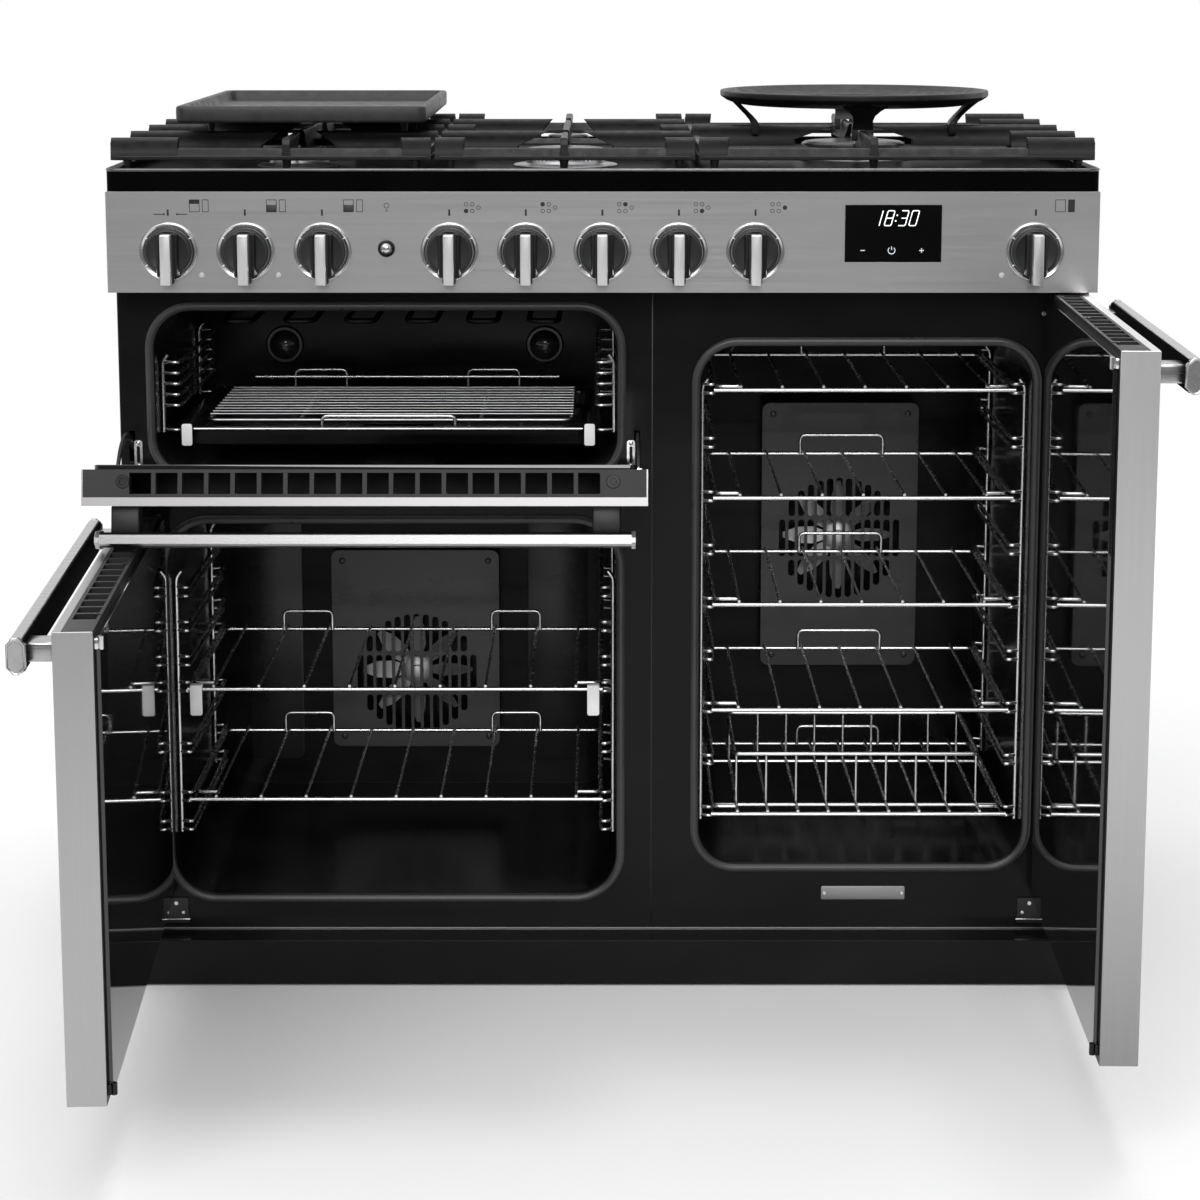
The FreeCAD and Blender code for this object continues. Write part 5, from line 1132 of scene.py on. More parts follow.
@dataclass
class WireGoods:
    """The side frames, the shelves and the plate rack, all of chromed wire."""

    thick: float = 2.6
    thin: float = 1.7
    loop: float = 2.1
    turn: float = 28.0
    front: float = 52.0
    near: float = 82.0
    rear: float = 346.0
    loop_high: float = 22.0
    side: float = 18.0
    rise: float = 4.07
    posts: Spot = (66, 350)
    bow: float = 5.0
    first_level: float = 187.0
    level_pitch: float = 125.0
    main_levels: Spot = (205.0, 337.0)

    def frame(self, mould: Mould, cavity: Cavity, low: float, high: float, rungs: list[float],
              reach: float) -> None:
        """Both side frames of a cavity: posts by the wall, and a bowed runner for each rung.

        Args:
            mould: Where they are built.
            cavity: The oven.
            low: The foot of the posts.
            high: Their top.
            rungs: The runners' heights.
            reach: How far the runners stand from the wall.
        """
        near, far = self.posts
        for wall, inward in ((cavity.left, 1), (cavity.right, -1)):
            post, runner = wall + 2.9 * inward, wall + reach * inward
            for y in self.posts:
                mould.wire([(post, y, low), (post, y, high - 8), (post + 6 * inward, y, high)], self.thick, 5)
            for z in rungs:
                mould.wire([(post, near, z), (runner, near - self.bow, z), (runner, far + self.bow, z),
                            (post, far, z)], self.thin * 1.25, 7)

    def frames(self) -> None:
        """The side frames of all three cavities, whose runners lie in pairs in the ovens."""
        wires = Mould("side_frames")
        pair = (-5.15, 5.15)
        levels = (*self.main_levels, 450, 409, 368, 264, 170)
        self.frame(wires, MAIN, 162, 474, [z + apart for z in levels for apart in pair], 17)
        levels = [self.first_level + self.level_pitch / 2 * step for step in range(9)]
        self.frame(wires, TALL, 177.5, 698, [z + apart for z in levels for apart in pair], 17)
        self.frame(wires, GRILL, 636.5, 726, [639.4, *(667.8 + 12.4 * step for step in range(5))], 22.5)
        wires.cast(WIRE_CHROME, "wire_chrome", "shelf_ladders")

    def stand(self, mould: Mould, x: float, wide: float, y: float, z: float) -> None:
        """A raised loop."""
        left, right, high = x - wide / 2, x + wide / 2, z + self.loop_high + self.loop
        mould.wire([(left, y, z), (left, y, high), (right, y, high), (right, y, z)], self.loop, 7)

    def shelf(self, mould: Mould, cavity: Cavity, z: float, count: int, stands: list[Spot]) -> list[float]:
        """One shelf.

        Args:
            mould: Where it is built.
            cavity: The oven that it slides in.
            z: The height of its frame.
            count: The number of its cross wires.
            stands: The middle and width of each raised loop.

        Returns:
            The places of the cross wires.
        """
        left, right = cavity.left + self.side, cavity.right - self.side
        near, rear, turn = self.near, self.rear, self.turn
        mould.wire([(left - self.thick, self.front, z), (right + self.thick, self.front, z)], self.thick)
        line = [(left + turn, near), (left, near), (left, rear), (right, rear), (right, near),
                (right - turn, near)]
        mould.wire(lift(line, z, Axis.Z), self.thick, 9)
        above = z + self.rise
        spots = [left + turn + step * (right - left - 2 * turn) / (count - 1) for step in range(count)]
        for x in spots:
            mould.wire([(x, self.front - 2.4, above), (x, rear + 2.4, above)], self.thin)
        for x, wide in stands:
            self.stand(mould, x, wide, rear - 4.1, z)
        return spots

    def tabs(self, name: str, body: str, z: float) -> None:
        """Two hooked plates on the ends of a front rail.

        Args:
            name: The piece's name.
            body: The body that it rides on.
            z: The rail's height.
        """
        plates = Mould(name)
        for x in (MAIN.left + 26, MAIN.right - 26):
            plates.slab((x - 7, 45.2, z - 30), (x + 7, 47.2, z + 6), 0.6, 2.5, Axis.Y)
            plates.slab((x - 7, 47.2, z + 3.2), (x + 7, 56, z + 6), 0.5)
        plates.cast(TAB_GREY, "wire_chrome", body=body)

    def rack(self, stands: list[Spot]) -> None:
        """The plate rack: a low shelf under a fence of upright wires.

        Args:
            stands: The raised loops of its shelf.
        """
        wires, base, top = Mould("plate_rack_wires"), self.first_level, 249
        spots = self.shelf(wires, TALL, base, 9, stands)
        first, last = spots[0] - 2, spots[-1] + 2
        for y in (88, 268):
            wires.wire([(TALL.left + 20, y, base), (TALL.right - 20, y, base)], self.thick)
            for x in spots:
                wires.wire([(x, y, base + 6), (x, y, top - 2)], self.thin)
        rail = [(first, 178), (first, 88), (last, 88), (last, 268), (first, 268), (first, 178)]
        wires.wire(lift(rail, top, Axis.Z), self.thick, 7)
        wires.cast(WIRE_CHROME, "wire_chrome", "plate_rack", body="plate_rack_body")

    def build(self) -> None:
        """Make every frame, shelf and rack."""
        self.frames()
        middle, centre = (MAIN.left + MAIN.right) / 2, (TALL.left + TALL.right) / 2
        wide, narrow = [(middle - 131, 61), (middle + 131, 61)], [(centre, 103)]
        lower, upper = self.main_levels
        shelves = [("main_shelf_lower", MAIN, lower, 9, wide), ("main_shelf_upper", MAIN, upper, 9, wide)]
        shelves += [(f"tall_shelf_{step}", TALL, self.first_level + self.level_pitch * step, 7, narrow)
                    for step in range(1, 5)]
        for name, *shape in shelves:
            wires = Mould(f"{name}_wires")
            self.shelf(wires, *shape)
            wires.cast(WIRE_CHROME, "wire_chrome", name, body=f"{name}_body")
            if name == "main_shelf_upper":
                self.tabs(f"{name}_tabs", f"{name}_body", upper)
        self.rack(narrow)


@dataclass
class Grilling:
    """The grill pan with its carrier, and the rack in it."""

    left: float = -486.0
    right: float = -3.0
    front: float = 54.0
    rear: float = 364.0
    deepest: float = 140.0
    skin: tuple[Point, ...] = (
        (0.6, 641.9, 22), (0, 642.6, 22), (0.5, 643.3, 22), (1.4, 643.5, 21), (8.6, 643.5, 17), (10, 642, 16),
        (11, 638, 15), (13, 624, 14), (16, 621.4, 13), (20, 621, 12), (200, 620.8, 2), (200, 619.5, 2),
        (20, 619.5, 12), (15, 620.2, 13), (11.6, 623, 14), (9.4, 641.9, 16),
    )

    def pan(self) -> None:
        """A pressed pan with a rolled rim."""
        tray = Mould("grill_pan_tray")
        rings = []
        for inset, z, corner in self.skin:
            deep = min(inset, self.deepest)
            flat = outline(self.left + inset, self.right - inset, self.front + deep, self.rear - deep, corner)
            rings.append(lift(flat, z, Axis.Z))
        tray.skin(rings, closed=True)
        tray.cast(ENAMEL_PAN, "pan_enamel", "grill_pan", body="grill_pan_body")

    def carrier(self) -> None:
        """The wires round the pan, with their raised loops, and the grey tabs in front."""
        wires = Mould("grill_pan_carrier")
        middle, rear, z = (self.left + self.right) / 2, self.rear + 2.9, 640.9
        wires.wire([(self.left + 9, rear, z), (self.right - 9, rear, z)], 2.6)
        for x in (middle - 108, middle + 108):
            WireGoods().stand(wires, x, 64, rear, z)
        wires.wire([(self.left + 20, 52.4, 642.4), (self.right - 20, 52.4, 642.4)], 1.5)
        wires.wire([(middle - 190, rear, 656), (middle + 190, rear, 656)], 2.2)
        start, end = middle - 76, middle + 76
        wires.wire([(start, 62, 644), (start, 60, 656), (end, 60, 656), (end, 62, 644)], 2.2, 8)
        wires.cast(WIRE_CHROME, "wire_chrome", body="grill_pan_body")
        tabs = Mould("grill_pan_tabs")
        for x in (self.left + 12, self.right - 12):
            tabs.slab((x - 6, 51.6, 622.8), (x + 6, 53.6, 648), 0.6, 2.5, Axis.Y)
        tabs.cast(TAB_GREY, "pan_enamel", body="grill_pan_body")

    def rack(self) -> None:
        """The rack that lies in the pan."""
        wires = Mould("grill_rack_wires")
        left, right, front, rear, z = -453.4, -35.6, 86.6, 331.4, 646.9
        middle, above = (front + rear) / 2, z + 4.0
        rail = [(left, middle), (left, front), (right, front), (right, rear), (left, rear), (left, middle)]
        wires.wire(lift(rail, z, Axis.Z), 2.6, 10)
        for step in range(11):
            y = front + (step + 1) * (rear - front) / 12
            wires.wire([(left - 1, y, above), (right + 1, y, above)], 1.15)
        for x in (left + 105, right - 105):
            wires.wire([(x, front, z), (x, rear, z)], 2.2)
        wires.cast(RACK_CHROME, "wire_chrome", "grill_rack", body="grill_rack_body")

    def build(self) -> None:
        """Make the pan and the rack."""
        self.pan()
        self.carrier()
        self.rack()


@dataclass
class Fascia:
    """The control panel with its knobs, marks, display and button."""

    face: float = -22.0
    level: float = 852.5
    ink: float = -22.12
    display: float = -22.9
    button_at: Point = (-238, -22.0, 856)
    line: float = 0.7
    foot: float = 896.0
    head: float = 909.8
    grip_levels: tuple[Box, ...] = (
        (7, 12.6, -25.4, 21.0), (13, 12.0, -26.2, 21.0), (16.5, 11.0, -26.4, 20.6),
        (17.4, 9.6, -26.2, 20.0), (17.0, 8.6, -26.0, 19.6), (16.2, 7.8, -25.6, 19.2),
    )
    oven_knobs: tuple[tuple[str, float], ...] = (
        ("grill_knob", -477.7), ("main_oven_knob", -393.05), ("main_fan_oven_knob", -308.4),
        ("tall_oven_knob", 475.7),
    )
    gas_knobs: tuple[tuple[str, float], ...] = (
        ("left_front_knob", -168.6), ("left_rear_knob", -84.5), ("centre_rear_knob", -0.4),
        ("centre_front_knob", 83.7), ("wok_knob", 167.8),
    )

    @property
    def knobs(self) -> tuple[tuple[str, float], ...]:
        """All knobs by name, with their places along the panel."""
        return (*self.oven_knobs, *self.gas_knobs)

    def bezels(self) -> None:
        """The chrome rings round the knobs, the button's collar and the rings' marks."""
        rings, collar, marks = Mould("chrome_bezels"), Mould("button_collar"), Mould("bezel_marks")
        rings.lathe(BEZEL, *((x, self.face, self.level) for _, x in self.knobs), sides=64, closed=True)
        rings.cast(RING_CHROME, "chrome", "knob_bezels")
        collar.lathe(COLLAR, self.button_at, sides=48, closed=True)
        collar.cast(KNOB_BLACK, "chrome")
        for _, x in self.knobs:
            for angle in map(math.radians, (32, 148, 212)):
                way = Vector((math.cos(angle), 0, math.sin(angle)))
                start = Vector((x, self.face - 3.1, self.level)) + way * 27.2
                marks.wire([tuple(start), tuple(start + way * 2.8 - Vector((0, 1.2, 0)))], 0.6, 0, 6)
        # painted light: the printed marks glow
        marks.cast(INK_PALE_GLOW, "chrome")

    def knob(self, name: str, x: float) -> None:
        """A knob: a dark disc, a black grip, its steel bar and the web below it.

        Args:
            name: The knob's name.
            x: Its place along the panel.
        """
        y, z = self.face, self.level
        disc, grip, bar, web = (Mould(f"{name}_{part}") for part in ("disc", "grip", "bar", "web"))
        disc.lathe(KNOB_DISC, (x, y, z), sides=56)
        disc.cast(KNOB_DARK, "knob_plastic", name, body=f"{name}_body")
        grip.skin([lift(outline(x - half, x + half, z + low, z + high, 1.6, 3), y - proud, Axis.Y)
                   for proud, half, low, high in self.grip_levels])
        bar.slab((x - 5.7, y - 29, z - 34.8), (x + 5.7, y - 12, z + 20.6), 0.8, 1.2, Axis.Y)
        web.slab((x - 7.2, y - 17, z - 34.2), (x + 7.2, y - 7, z - 20), 0.8, 1.2, Axis.Y)
        for mould, finish in ((grip, KNOB_BLACK), (bar, STEEL_GRIP), (web, KNOB_BLACK)):
            mould.cast(finish, "knob_plastic", body=f"{name}_body")

    def button(self) -> None:
        """The round button for the oven lamps."""
        cap = Mould("light_button_cap")
        cap.lathe(BUTTON_CAP, self.button_at, sides=48)
        cap.cast(RING_CHROME, "chrome", "light_button", body="light_button_body")

    def lenses(self) -> None:
        """The small clear lenses of the indicator lamps."""
        domes = Mould("indicator_lenses")
        domes.lathe(LENS, *((x, self.face - 0.3, 826.3) for x in (-441.7, -357.05, 439.7)), sides=28)
        domes.cast(LENS_CLEAR, "display_glass")

    def stamp(self, mould: Mould, left: float, right: float, low: float, high: float) -> None:
        """A printed patch."""
        mould.slab((left, self.ink, low), (right, self.ink + 0.3, high), 0.02)

    def box(self, mould: Mould, left: float, right: float) -> None:
        """A thin outline of an oven, as printed.

        Args:
            mould: Where it is built.
            left: Its left edge.
            right: Its right edge.
        """
        line, low, high = self.line, self.foot, self.head
        for patch in ((left, right, high - line, high), (left, right, low, low + line),
                      (left, left + line, low, high), (right - line, right, low, high)):
            self.stamp(mould, *patch)

    def ring(self, mould: Mould, x: float, z: float, outer: float, inner: float = 0, sides: int = 20) -> None:
        """A printed disc, or a ring when it has an inner radius."""
        profile = [(outer, 0), (outer, 0.12)] + ([(inner, 0.12), (inner, 0)] if inner else [])
        mould.lathe(profile, (x, self.ink + 0.12, z), sides=sides, closed=bool(inner))

    def oven_signs(self, ink: Mould) -> None:
        """A pair of boxes beside each oven knob, with the oven that the knob heats filled in.

        Args:
            ink: Where they are built.
        """
        low, high = self.foot, self.head
        for name, x in self.oven_knobs:
            left = x + (21 if name == "tall_oven_knob" else 23.5)
            wide, tall = (left, left + 11.5), (left + 14.2, left + 21.4)
            self.box(ink, *wide)
            self.box(ink, *tall)
            filled = {"tall_oven_knob": (*tall, low, high), "grill_knob": (*wide, 905, high)}
            self.stamp(ink, *filled.get(name, (*wide, low, 904)))

    def gas_signs(self, ink: Mould) -> None:
        """Five rings beside each gas knob, with that of its burner filled in.

        Args:
            ink: Where they are built.
        """
        spots = ((18.5, 897.2), (18.5, 904.6), (25.3, 897.2), (25.3, 904.6), (32.2, 900.9))
        for (_, x), lit in zip(self.gas_knobs, (0, 1, 3, 2, 4)):
            for number, (across, z) in enumerate(spots):
                if number == lit:
                    self.ring(ink, x + across, z, 2.5)
                else:
                    self.ring(ink, x + across, z, 2.3, 1.65)

    def prints(self) -> None:
        """The printed ticks and pictograms of the panel."""
        ink = Mould("panel_prints")
        for _, x in self.knobs:
            self.stamp(ink, x - 1.1, x + 1.1, 892, 899)
        self.oven_signs(ink)
        for left, right in ((-493.5, -481.5), (-467.5, -456.5)):
            self.stamp(ink, left, right, 893.1, 894.1)
        for x in (-482.0, -467.5):
            self.ring(ink, x, 893.6, 1.1, sides=12)
        self.gas_signs(ink)
        self.ring(ink, -237.4, 903.2, 3.0, 2.4, 24)
        for z in (898.9, 897.6, 896.4):
            self.stamp(ink, -238.9, -235.9, z, z + 0.4)
        ink.cast(INK_DARK, "brushed_steel")

    def digits(self) -> None:
        """The lit clock of the display."""
        lit, y = Mould("display_digits"), self.display
        strokes = {
            "1": [[(0.8, 0), (0.8, 2)]],
            "8": [[(0, 1), (0, 2), (1, 2), (1, 1), (0, 1)], [(0, 1), (0, 0), (1, 0), (1, 1)]],
            "3": [[(0, 2), (1, 2), (1, 1), (0.2, 1)], [(1, 1), (1, 0), (0, 0)]],
            "0": [[(0, 1), (0, 2), (1, 2), (1, 0), (0, 0), (0, 1)]],
        }
        wide, high, slant, base = 7.6, 8.2, 2.2, 881.2
        for digit, start in (("1", 297.5), ("8", 309.0), ("3", 324.5), ("0", 336.0)):
            for stroke in strokes[digit]:
                line = [(start + u * wide + v * slant, base + v * high) for u, v in stroke]
                lit.wire(lift(line, y, Axis.Y), 0.55, 1.8, 8)
        lit.lathe([(0.85, 0), (0.85, 0.4)],
                  *((320.4 + v * slant, y + 0.3, base + v * high) for v in (0.62, 1.38)), sides=16)
        lit.cast(INK_WHITE, "display_glass")

    def touch_marks(self) -> None:
        """The minus, plus and power marks of the display."""
        marks, y, z = Mould("display_marks"), self.display, 853.8
        arc = [(317.7 + 3.8 * math.sin(math.radians(a)), z + 3.8 * math.cos(math.radians(a)))
               for a in range(40, 321, 20)]
        for line in ([(283.4, z), (288.4, z)], [(348.2, z), (353.2, z)], [(350.7, z - 2.5), (350.7, z + 2.5)],
                     arc, [(317.7, z + 0.6), (317.7, z + 4.4)]):
            marks.wire(lift(line, y, Axis.Y), 0.5, 0, 6)
        marks.cast(INK_PALE_GLOW, "display_glass")

    def build(self) -> None:
        """Dress the panel and make what stands on it."""
        dress(STEEL_PANEL, 1.2, "control_panel")
        dress(DISPLAY_GLASS, 0.4, "display_and_lenses")
        self.bezels()
        for name, x in self.knobs:
            self.knob(name, x)
        self.button()
        self.lenses()
        self.prints()
        self.digits()
        self.touch_marks()


@dataclass
class Hob:
    """The hotplate, burners, pan supports, griddle and wok ring."""

    floor: float = 935.4
    front: float = 16.0
    rear: float = 544.0
    rows: Spot = (150, 408)
    burners: tuple[Point, ...] = (
        (-351, 150, 34), (-351, 408, 34), (-43, 150, 46), (-43, 408, 26), (301, 278, 62),
    )
    plate: Box = (-546, 546, -22, 576)
    rim_section: tuple[Spot, ...] = (
        (0.6, 950), (11.4, 950), (12, 950.8), (12, 954.6), (10.6, 955.6), (9.8, 962.4), (8.8, 963.4),
        (3.2, 963.4), (2.2, 962.4), (1.4, 955.6), (0, 954.6), (0, 950.8),
    )
    cross_section: tuple[Spot, ...] = (
        (-6, 950.5), (6, 950.5), (6, 953.6), (4.6, 954.4), (3.6, 958.2), (-3.6, 958.2), (-4.6, 954.4),
        (-6, 953.6),
    )
    rib_levels: tuple[Point, ...] = (
        (5.0, 950.2, 0), (5.0, 958, 0), (4.2, 960, 0.12), (4.0, 966.5, 0.5), (4.5, 968.3, 0.6),
        (4.4, 972.6, 0.85), (3.6, 974.5, 0.96), (2.4, 975, 1.0),
    )
    griddle_box: Box = (-482.0, -199.0, 70.0, 498.0)
    griddle_skin: tuple[Point, ...] = (
        (2.4, 988.5, 10), (0.8, 989.6, 11.4), (0, 992, 12), (0, 1004, 12), (0.6, 1006, 11.6), (2, 1007, 10.6),
        (6.4, 1007, 8), (8.2, 1006.2, 7), (9.4, 1003.5, 6.4), (11.5, 996, 5.4), (13.4, 994.6, 4.6),
        (18, 994.5, 3), (19, 994.9, 3), (120, 995.0, 2),
    )

    def edge(self) -> None:
        """A dark metallic bead round the hotplate's top edge, a painted highlight line in place of the glint
        on the enamel's rounded edge.
        """
        glint_bead = Mould("hob_painted_glint_edge")
        turns = [(1.2 - 2.0 * math.cos(turn), 942.0 + 2.0 * math.sin(turn)) for turn in angles(20)]
        glint_bead.stack(self.plate, [(inset, z, 14 - inset) for inset, z in turns], Axis.Z, 7, True)
        glint_bead.cast(HOB_EDGE_PAINTED_GLINT, "hob_enamel")

    def crown(self, mould: Mould, x: float, y: float, r: float) -> None:
        """A burner's crown, with a notch in every fourth step of its wall.

        Args:
            mould: Where it is built.
            x: The burner's place along X.
            y: Its place along Y.
            r: The cap's radius.
        """
        turns = angles(int(r * 1.1) * 4)
        rings = []
        for radius, z, deepest in ((r * 0.9, 6.5, 0), (r * 0.955, 7, 0), (r * 0.95, 9.5, 2.2),
                                   (r * 0.945, 13.2, 2.2), (r * 0.94, 14.6, 0), (r * 0.6, 14.9, 0)):
            ring = []
            for step, turn in enumerate(turns):
                reach = radius - (0 if step % 4 else deepest)
                ring.append((x + reach * math.cos(turn), y + reach * math.sin(turn), self.floor + z))
            rings.append(ring)
        mould.skin(rings)

    def cook(self) -> None:
        """The burners: a bright skirt, a slotted crown and an enamelled cap, with igniter and probe."""
        skirts, crowns, caps = Mould("burner_skirts"), Mould("burner_crowns"), Mould("burner_caps_round")
        pins, tips = Mould("burner_igniters"), Mould("burner_probes")
        for x, y, r in self.burners:
            at = (x, y, self.floor)
            skirt = [(r + 14, 0.1), (r + 14, 1.2), (r + 12.5, 2), (r + 4, 2.6), (r + 0.5, 3.4), (r, 4),
                     (r * 0.97, 7), (r * 0.9, 7), (r * 0.9, 0.1)]
            lid = [(r * 0.9, 15), (r * 0.98, 15.2), (r, 16.4), (r * 0.99, 18.4), (r * 0.93, 20.2),
                   (r * 0.8, 21), (1, 21)]
            skirts.lathe(skirt, at, axis=Axis.Z, sides=72, closed=True)
            self.crown(crowns, x, y, r)
            caps.lathe(lid, at, axis=Axis.Z, sides=72)
            for mould, profile, turn in ((pins, IGNITER, 2.4), (tips, PROBE, 0.75)):
                spot = (x + (r + 6) * math.cos(turn), y + (r + 6) * math.sin(turn), self.floor)
                mould.lathe(profile, spot, axis=Axis.Z)
        skirts.cast(BURNER_ALLOY, "burner_alloy", "burner_bowls")
        crowns.cast(BURNER_ALLOY, "burner_alloy")
        caps.cast(IRON_CAP, "burner_enamel", "burner_caps")
        pins.cast(CERAMIC, "burner_alloy")
        tips.cast(BRASS, "burner_alloy")

    def rib(self, mould: Mould, start: Spot, end: Spot, tip: Spot) -> None:
        """A finger: wide at the foot, waisted, with a rounded crown.

        Args:
            mould: Where it is built.
            start: Where its root is, on the frame.
            end: Where its foot ends.
            tip: Where its crown ends.
        """
        along = (Vector(end) - Vector(start)).normalized()
        side = Vector((-along.y, along.x))
        rings = []
        for half, z, share in self.rib_levels:
            stop = Vector(end) * (1 - share) + Vector(tip) * share
            first = Vector(start) + along * (0 if z < 972 else 0.8)
            corners = (first - side * half, stop - side * half * 0.8, stop + along * 1.2,
                       stop + side * half * 0.8, first + side * half)
            rings.append([(spot.x, spot.y, z) for spot in corners])
        mould.skin(rings)

    def fingers(self, mould: Mould, ends: Spot, y: float, reach: Spot, over: float) -> None:
        """A finger from each side of a grate, with its reach and what its crown reaches over."""
        (left, right), (first, last) = ends, reach
        self.rib(mould, (left + 0.3, y), (left + first, y), (left + first + over, y))
        self.rib(mould, (right - 0.3, y), (right - last, y), (right - last - over, y))

    def support(self, name: str, left: float, right: float, x: float, burners: list[Spot]) -> None:
        """One cast grate.

        Args:
            name: Which of the three.
            left: Its left edge.
            right: Its right edge.
            x: The place of its burners.
            burners: Each burner's place along Y, and its radius.
        """
        grate, ends = Mould(f"pan_support_{name}_casting"), (left, right)
        grate.stack((left, right, self.front, self.rear),
                    [(inset, z, max(6 - inset * 0.4, 1.5)) for inset, z in self.rim_section], Axis.Z, 4, True)
        middle = (self.front + self.rear) / 2
        reach = {"left": (74, 32), "centre": (32, 32), "right": (32, 74)}[name]
        rows = [self.front + 5, self.rear - 5]
        if len(burners) > 1:
            rows.append(middle)
            grate.prism([(middle + across, z) for across, z in self.cross_section], left + 6, right - 6)
        for y in rows:
            self.fingers(grate, ends, y, reach, 1.5)
        if name == "right":
            for y in self.rows:
                self.rib(grate, (right - 0.3, y), (right - reach[1], y), (right - reach[1] - 1.5, y))
        for index, (y, radius) in enumerate(burners):
            clear = radius + 9
            over = clear - 20
            self.fingers(grate, ends, y, (x - left - clear, right - x - clear), over)
            near = self.front if index == 0 else middle
            far = middle if index == 0 and len(burners) > 1 else self.rear
            self.rib(grate, (x, near + 0.3), (x, y - clear), (x, y - clear + over))
            self.rib(grate, (x, far - 0.3), (x, y + clear), (x, y + clear - over))
        feet = [(spot_x, spot_y, 0) for spot_x in (left + 18, x, right - 18)
                for spot_y in (self.front + 6, self.rear - 6)]
        grate.lathe([(3.1, 935.7), (3.6, 937), (5.4, 951.5)], *feet, axis=Axis.Z, sides=12)
        node = f"pan_support_{name}"
        grate.cast(IRON_SUPPORT, "cast_iron", node, body=f"{node}_body", bevel=0.5)

    def griddle(self) -> None:
        """The flat griddle with its raised rim, drain groove and feet."""
        plate = Mould("griddle_plate")
        left, right, *_ = self.griddle_box
        plate.stack(self.griddle_box, self.griddle_skin)
        feet = [(x, y, 0) for x in (left + 30, right - 30) for y in self.rows]
        plate.lathe([(3.4, 975.3), (5.2, 989.5)], *feet, axis=Axis.Z, sides=16)
        plate.cast(IRON_GRIDDLE, "griddle_iron", "griddle", body="griddle_body")

    def wok_ring(self) -> None:
        """The dished ring on four forked legs."""
        ring = Mould("wok_ring_casting")
        x, y = 301.0, 278.0
        ring.lathe(WOK_RIM, (x, y, 0), axis=Axis.Z, sides=96, closed=True)
        leg = ((118, 12.6, 975.5, 4.4), (120, 12, 980, 4.4), (125, 11.2, 986, 4.2), (131, 13, 992, 4.0),
               (137, 19, 998, 3.8), (143.5, 29, 1004.2, 3.6), (149, 37, 1009.6, 3.4))
        flat = ((-1, -0.94), (-0.7, -1), (0.7, -1), (1, -0.94), (1, 0.94), (0.7, 1), (-0.7, 1), (-1, 0.94))
        for way in range(4):
            turn = Matrix.Translation((x, y, 0)) @ Matrix.Rotation(math.radians(90 * way), 4, "Z")
            ring.skin([[turn @ Vector((reach + u * thick, across * v, z)) for u, v in flat]
                       for reach, across, z, thick in leg])
            for low, high in ((-12.6, -5.5), (5.5, 12.6)):
                rings = []
                for inset, z in ((1.2, 963), (0.2, 964.4), (0, 970), (0, 976.5)):
                    rings.append([turn @ Vector((118 + u * (4.4 - inset), v, z)) for u, v in (
                        (-1, low + inset), (1, low + inset), (1, high - inset), (-1, high - inset))])
                ring.skin(rings)
        ring.cast(IRON_SUPPORT, "cast_iron", "wok_ring", body="wok_ring_body", bevel=0.5)

    def build(self) -> None:
        """Dress the hotplate and make what stands on it."""
        dress(ENAMEL_HOB, 1.5, "hotplate")
        self.edge()
        self.cook()
        self.support("left", -546, -190, -351, [(150, 34), (408, 34)])
        self.support("centre", -187, 103, -43, [(150, 46), (408, 26)])
        self.support("right", 106, 546, 301, [(278, 62)])
        self.griddle()
        self.wok_ring()


def swung(axis: str, degrees: float, at: Point) -> Matrix:
    """A turn about a line through a point."""
    there = Matrix.Translation(at)
    return there @ Matrix.Rotation(math.radians(degrees), 4, axis) @ there.inverted()


@dataclass(frozen=True)
class Door:
    """One door as it is shut, with the side that is free (-1, 1, or 0 for the top) and its opening turn."""

    name: str
    left: float
    right: float
    low: float
    top: float
    free: float
    steel: Finish
    post: Finish
    open: Matrix


DOORS = (
    Door("main", -541, 47, 93.5, 556, 1, STEEL_LEFT_DOOR, STEEL_HANDLE, swung("Z", -87, (-520, 0, 0))),
    Door("tall", 51, 541, 93.5, 804, -1, STEEL_RIGHT_DOOR_PAINTED_LIGHT, STEEL_HANDLE, swung("Z", 88.6, (520, 0, 0))),
    Door("grill", -541, 47, 561.5, 804, 0, STEEL_GRILL_DOOR_PAINTED_SHADE, KNOB_BLACK, swung("X", 79, (0, -10, 573.5))),
)


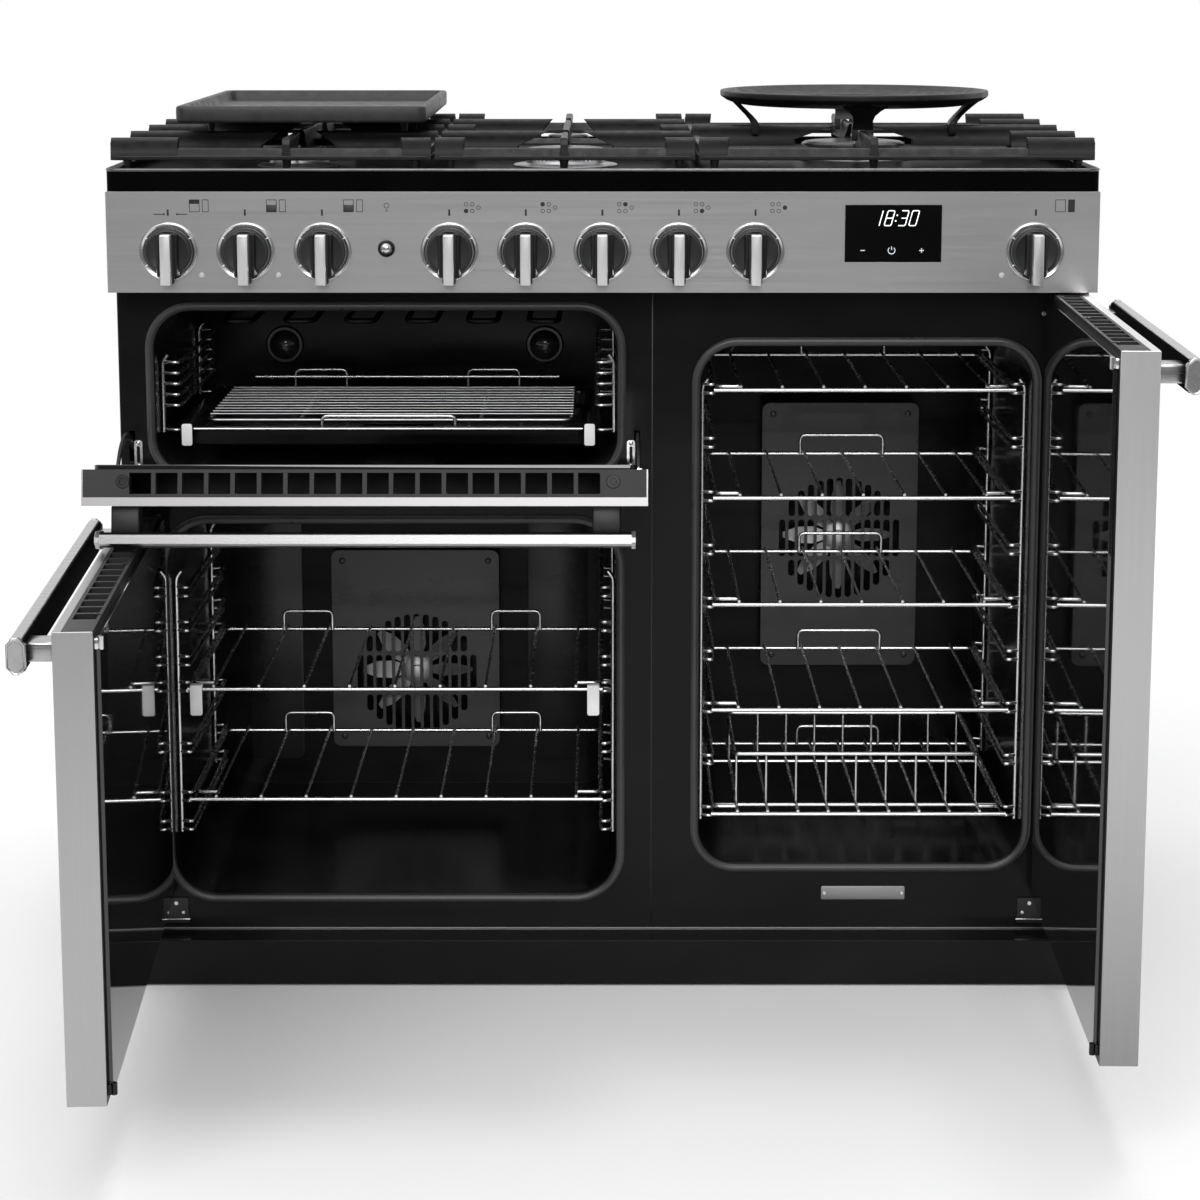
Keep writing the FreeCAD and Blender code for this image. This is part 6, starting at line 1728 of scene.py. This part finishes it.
@dataclass
class Doors:
    """The three doors with their handles, catches, screws and hinges."""

    middle: float = -52.8
    flat: float = 5.6
    high: float = 16.7
    drop: float = 26.0
    inset: float = 12.0
    cap: float = 5.0
    skin: float = -17.9

    def face(self, z: float, out: float, back: float) -> list[Spot]:
        """The section of a handle's bar: flat behind and bowed in front.

        Args:
            z: The middle's height.
            out: The place of its front.
            back: The place of its back.

        Returns:
            The section in Y and Z.
        """
        high = self.high
        face = [(back, z - high + 0.8), (back, z + high - 0.8), (back - 0.8, z + high), (out + 1.2, z + high),
                (out, z + high - 1.0)]
        for turn in (math.pi * (step / 10) for step in range(1, 10)):
            face.append((out - 3.2 * math.sin(turn), z + (high - 1) * math.cos(turn)))
        return face + [(out, z - high + 1.0), (out + 1.2, z - high), (back - 0.8, z - high)]

    def handle(self, door: Door) -> None:
        """A bar with a bowed face and a black back, between two end caps, on two posts.

        Args:
            door: Its door.
        """
        z, first, last = door.top - self.drop, door.left + self.inset, door.right - self.inset
        out, back, cap = self.middle - self.flat, self.middle + self.flat, self.cap
        body = f"{door.name}_door"
        bar, strip, caps, posts = (Mould(f"{door.name}_handle_{part}", door.open)
                                   for part in ("bar", "back", "caps", "posts"))
        bar.prism(self.face(z, out, back), first + cap, last - cap)
        bar.cast(STEEL_HANDLE, "handle_steel", f"{door.name}_door_handle", body=body)
        strip.slab((first + cap, back - 0.5, z - 15.2), (last - cap, back + 1.6, z + 15.2), 0.5)
        strip.cast(HANDLE_BACK, "handle_steel", body=body)
        for start, end, outer in ((first, first + cap, -1), (last - cap, last, 1)):
            levels = ((start, 2.6), (start + 0.5, 2.2), (start + 0.4, 1.6), (start, 1.0), (start + 0.8, 0),
                      (end, 0))
            if outer == 1:
                levels = tuple((start + end - x, inset) for x, inset in levels)
            caps.stack((out - 4.2, back + 3.1, z - 17.8, z + 17.8),
                       [(inset, x, 6.8 - inset * 0.6) for x, inset in levels], Axis.X, 1)
        caps.cast(BRIGHT_CAST, "handle_steel", body=body)
        for start in (first + 16, last - 46):
            posts.slab((start, back - 0.5, z - 9.4), (start + 30, self.skin, z + 9.4), 1.2, 2.2, Axis.Y)
        posts.cast(door.post, "handle_steel", body=body)

    def bits(self, door: Door) -> None:
        """Catches by the free edge, stay plates and socket bolts on the top rail.

        Args:
            door: Their door.
        """
        shine = Mould(f"{door.name}_door_catches", door.open)
        bolts = Mould(f"{door.name}_door_bolts", door.open)
        rail = door.top - 0.1
        if door.free:
            x = door.right - 10 if door.free > 0 else door.left + 10
            for z, catch in ((door.top - 13, shine), (door.low + 14, bolts)):
                catch.slab((x - 5, 19.5, z - 5), (x + 5, 24, z + 5), 0.6)
                catch.lathe(CATCH_ROLLER, (x, 26, z), axis=Axis.Z)
            small = [(radius * 0.5, height * 0.6) for radius, height in SOCKET_BOLT]
            spots = [door.left + (door.right - door.left) * share for share in (0.12, 0.5, 0.88)]
            bolts.lathe(small, *((spot, 15.5, rail) for spot in spots), axis=Axis.Z)
        else:
            spots = ((door.left + 43, 7.4, rail), (door.right - 36, 7.4, rail))
            bolts.lathe(SOCKET_BOLT, *spots, axis=Axis.Z, sides=28)
            for x in (-533, 39):
                shine.slab((x - 4.5, 20, 622), (x + 4.5, 23, 650), 0.6)
                shine.lathe(STAY_SCREW, (x, 0, 627), (x, 0, 645))
        shine.cast(SCREW_STEEL, "hinge_steel", body=f"{door.name}_door")
        bolts.cast(BOLT_DARK, "hinge_steel", body=f"{door.name}_door")

    def build(self) -> None:
        """Dress the doors' own nodes and make what is fixed to them."""
        for door in DOORS:
            dress(door.steel, 0.8, f"{door.name}_door_panel")
            dress(PLASTIC_BLACK, 0.5, f"{door.name}_door_frame")
            dress(DOOR_GLASS, 0.5, f"{door.name}_door_glass")
            self.handle(door)
            self.bits(door)
        dress(HINGE_DARK, 0.4, "door_hinges")


@dataclass
class Services:
    """The gas rail and the electrical parts behind the panel."""

    def build(self) -> None:
        """Dress the kept parts."""
        dress(BRASS, 0.5, "gas_manifold")
        dress(PLASTIC_GREY, 0.8, "electrical_parts")


def main() -> None:
    """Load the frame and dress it."""
    logging.basicConfig(level=logging.INFO, format="%(name)s %(message)s")
    for item in list(bpy.data.objects):
        bpy.data.objects.remove(item, do_unlink=True)
    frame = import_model()
    NODES.update(frame["nodes"])
    Studio().build()
    for assembly in (Carcass(), Linings(), WireGoods(), Grilling(), Fascia(), Hob(), Doors(), Services()):
        assembly.build()
        LOG.info("%s done", type(assembly).__name__)


if __name__ == "__main__":
    main()
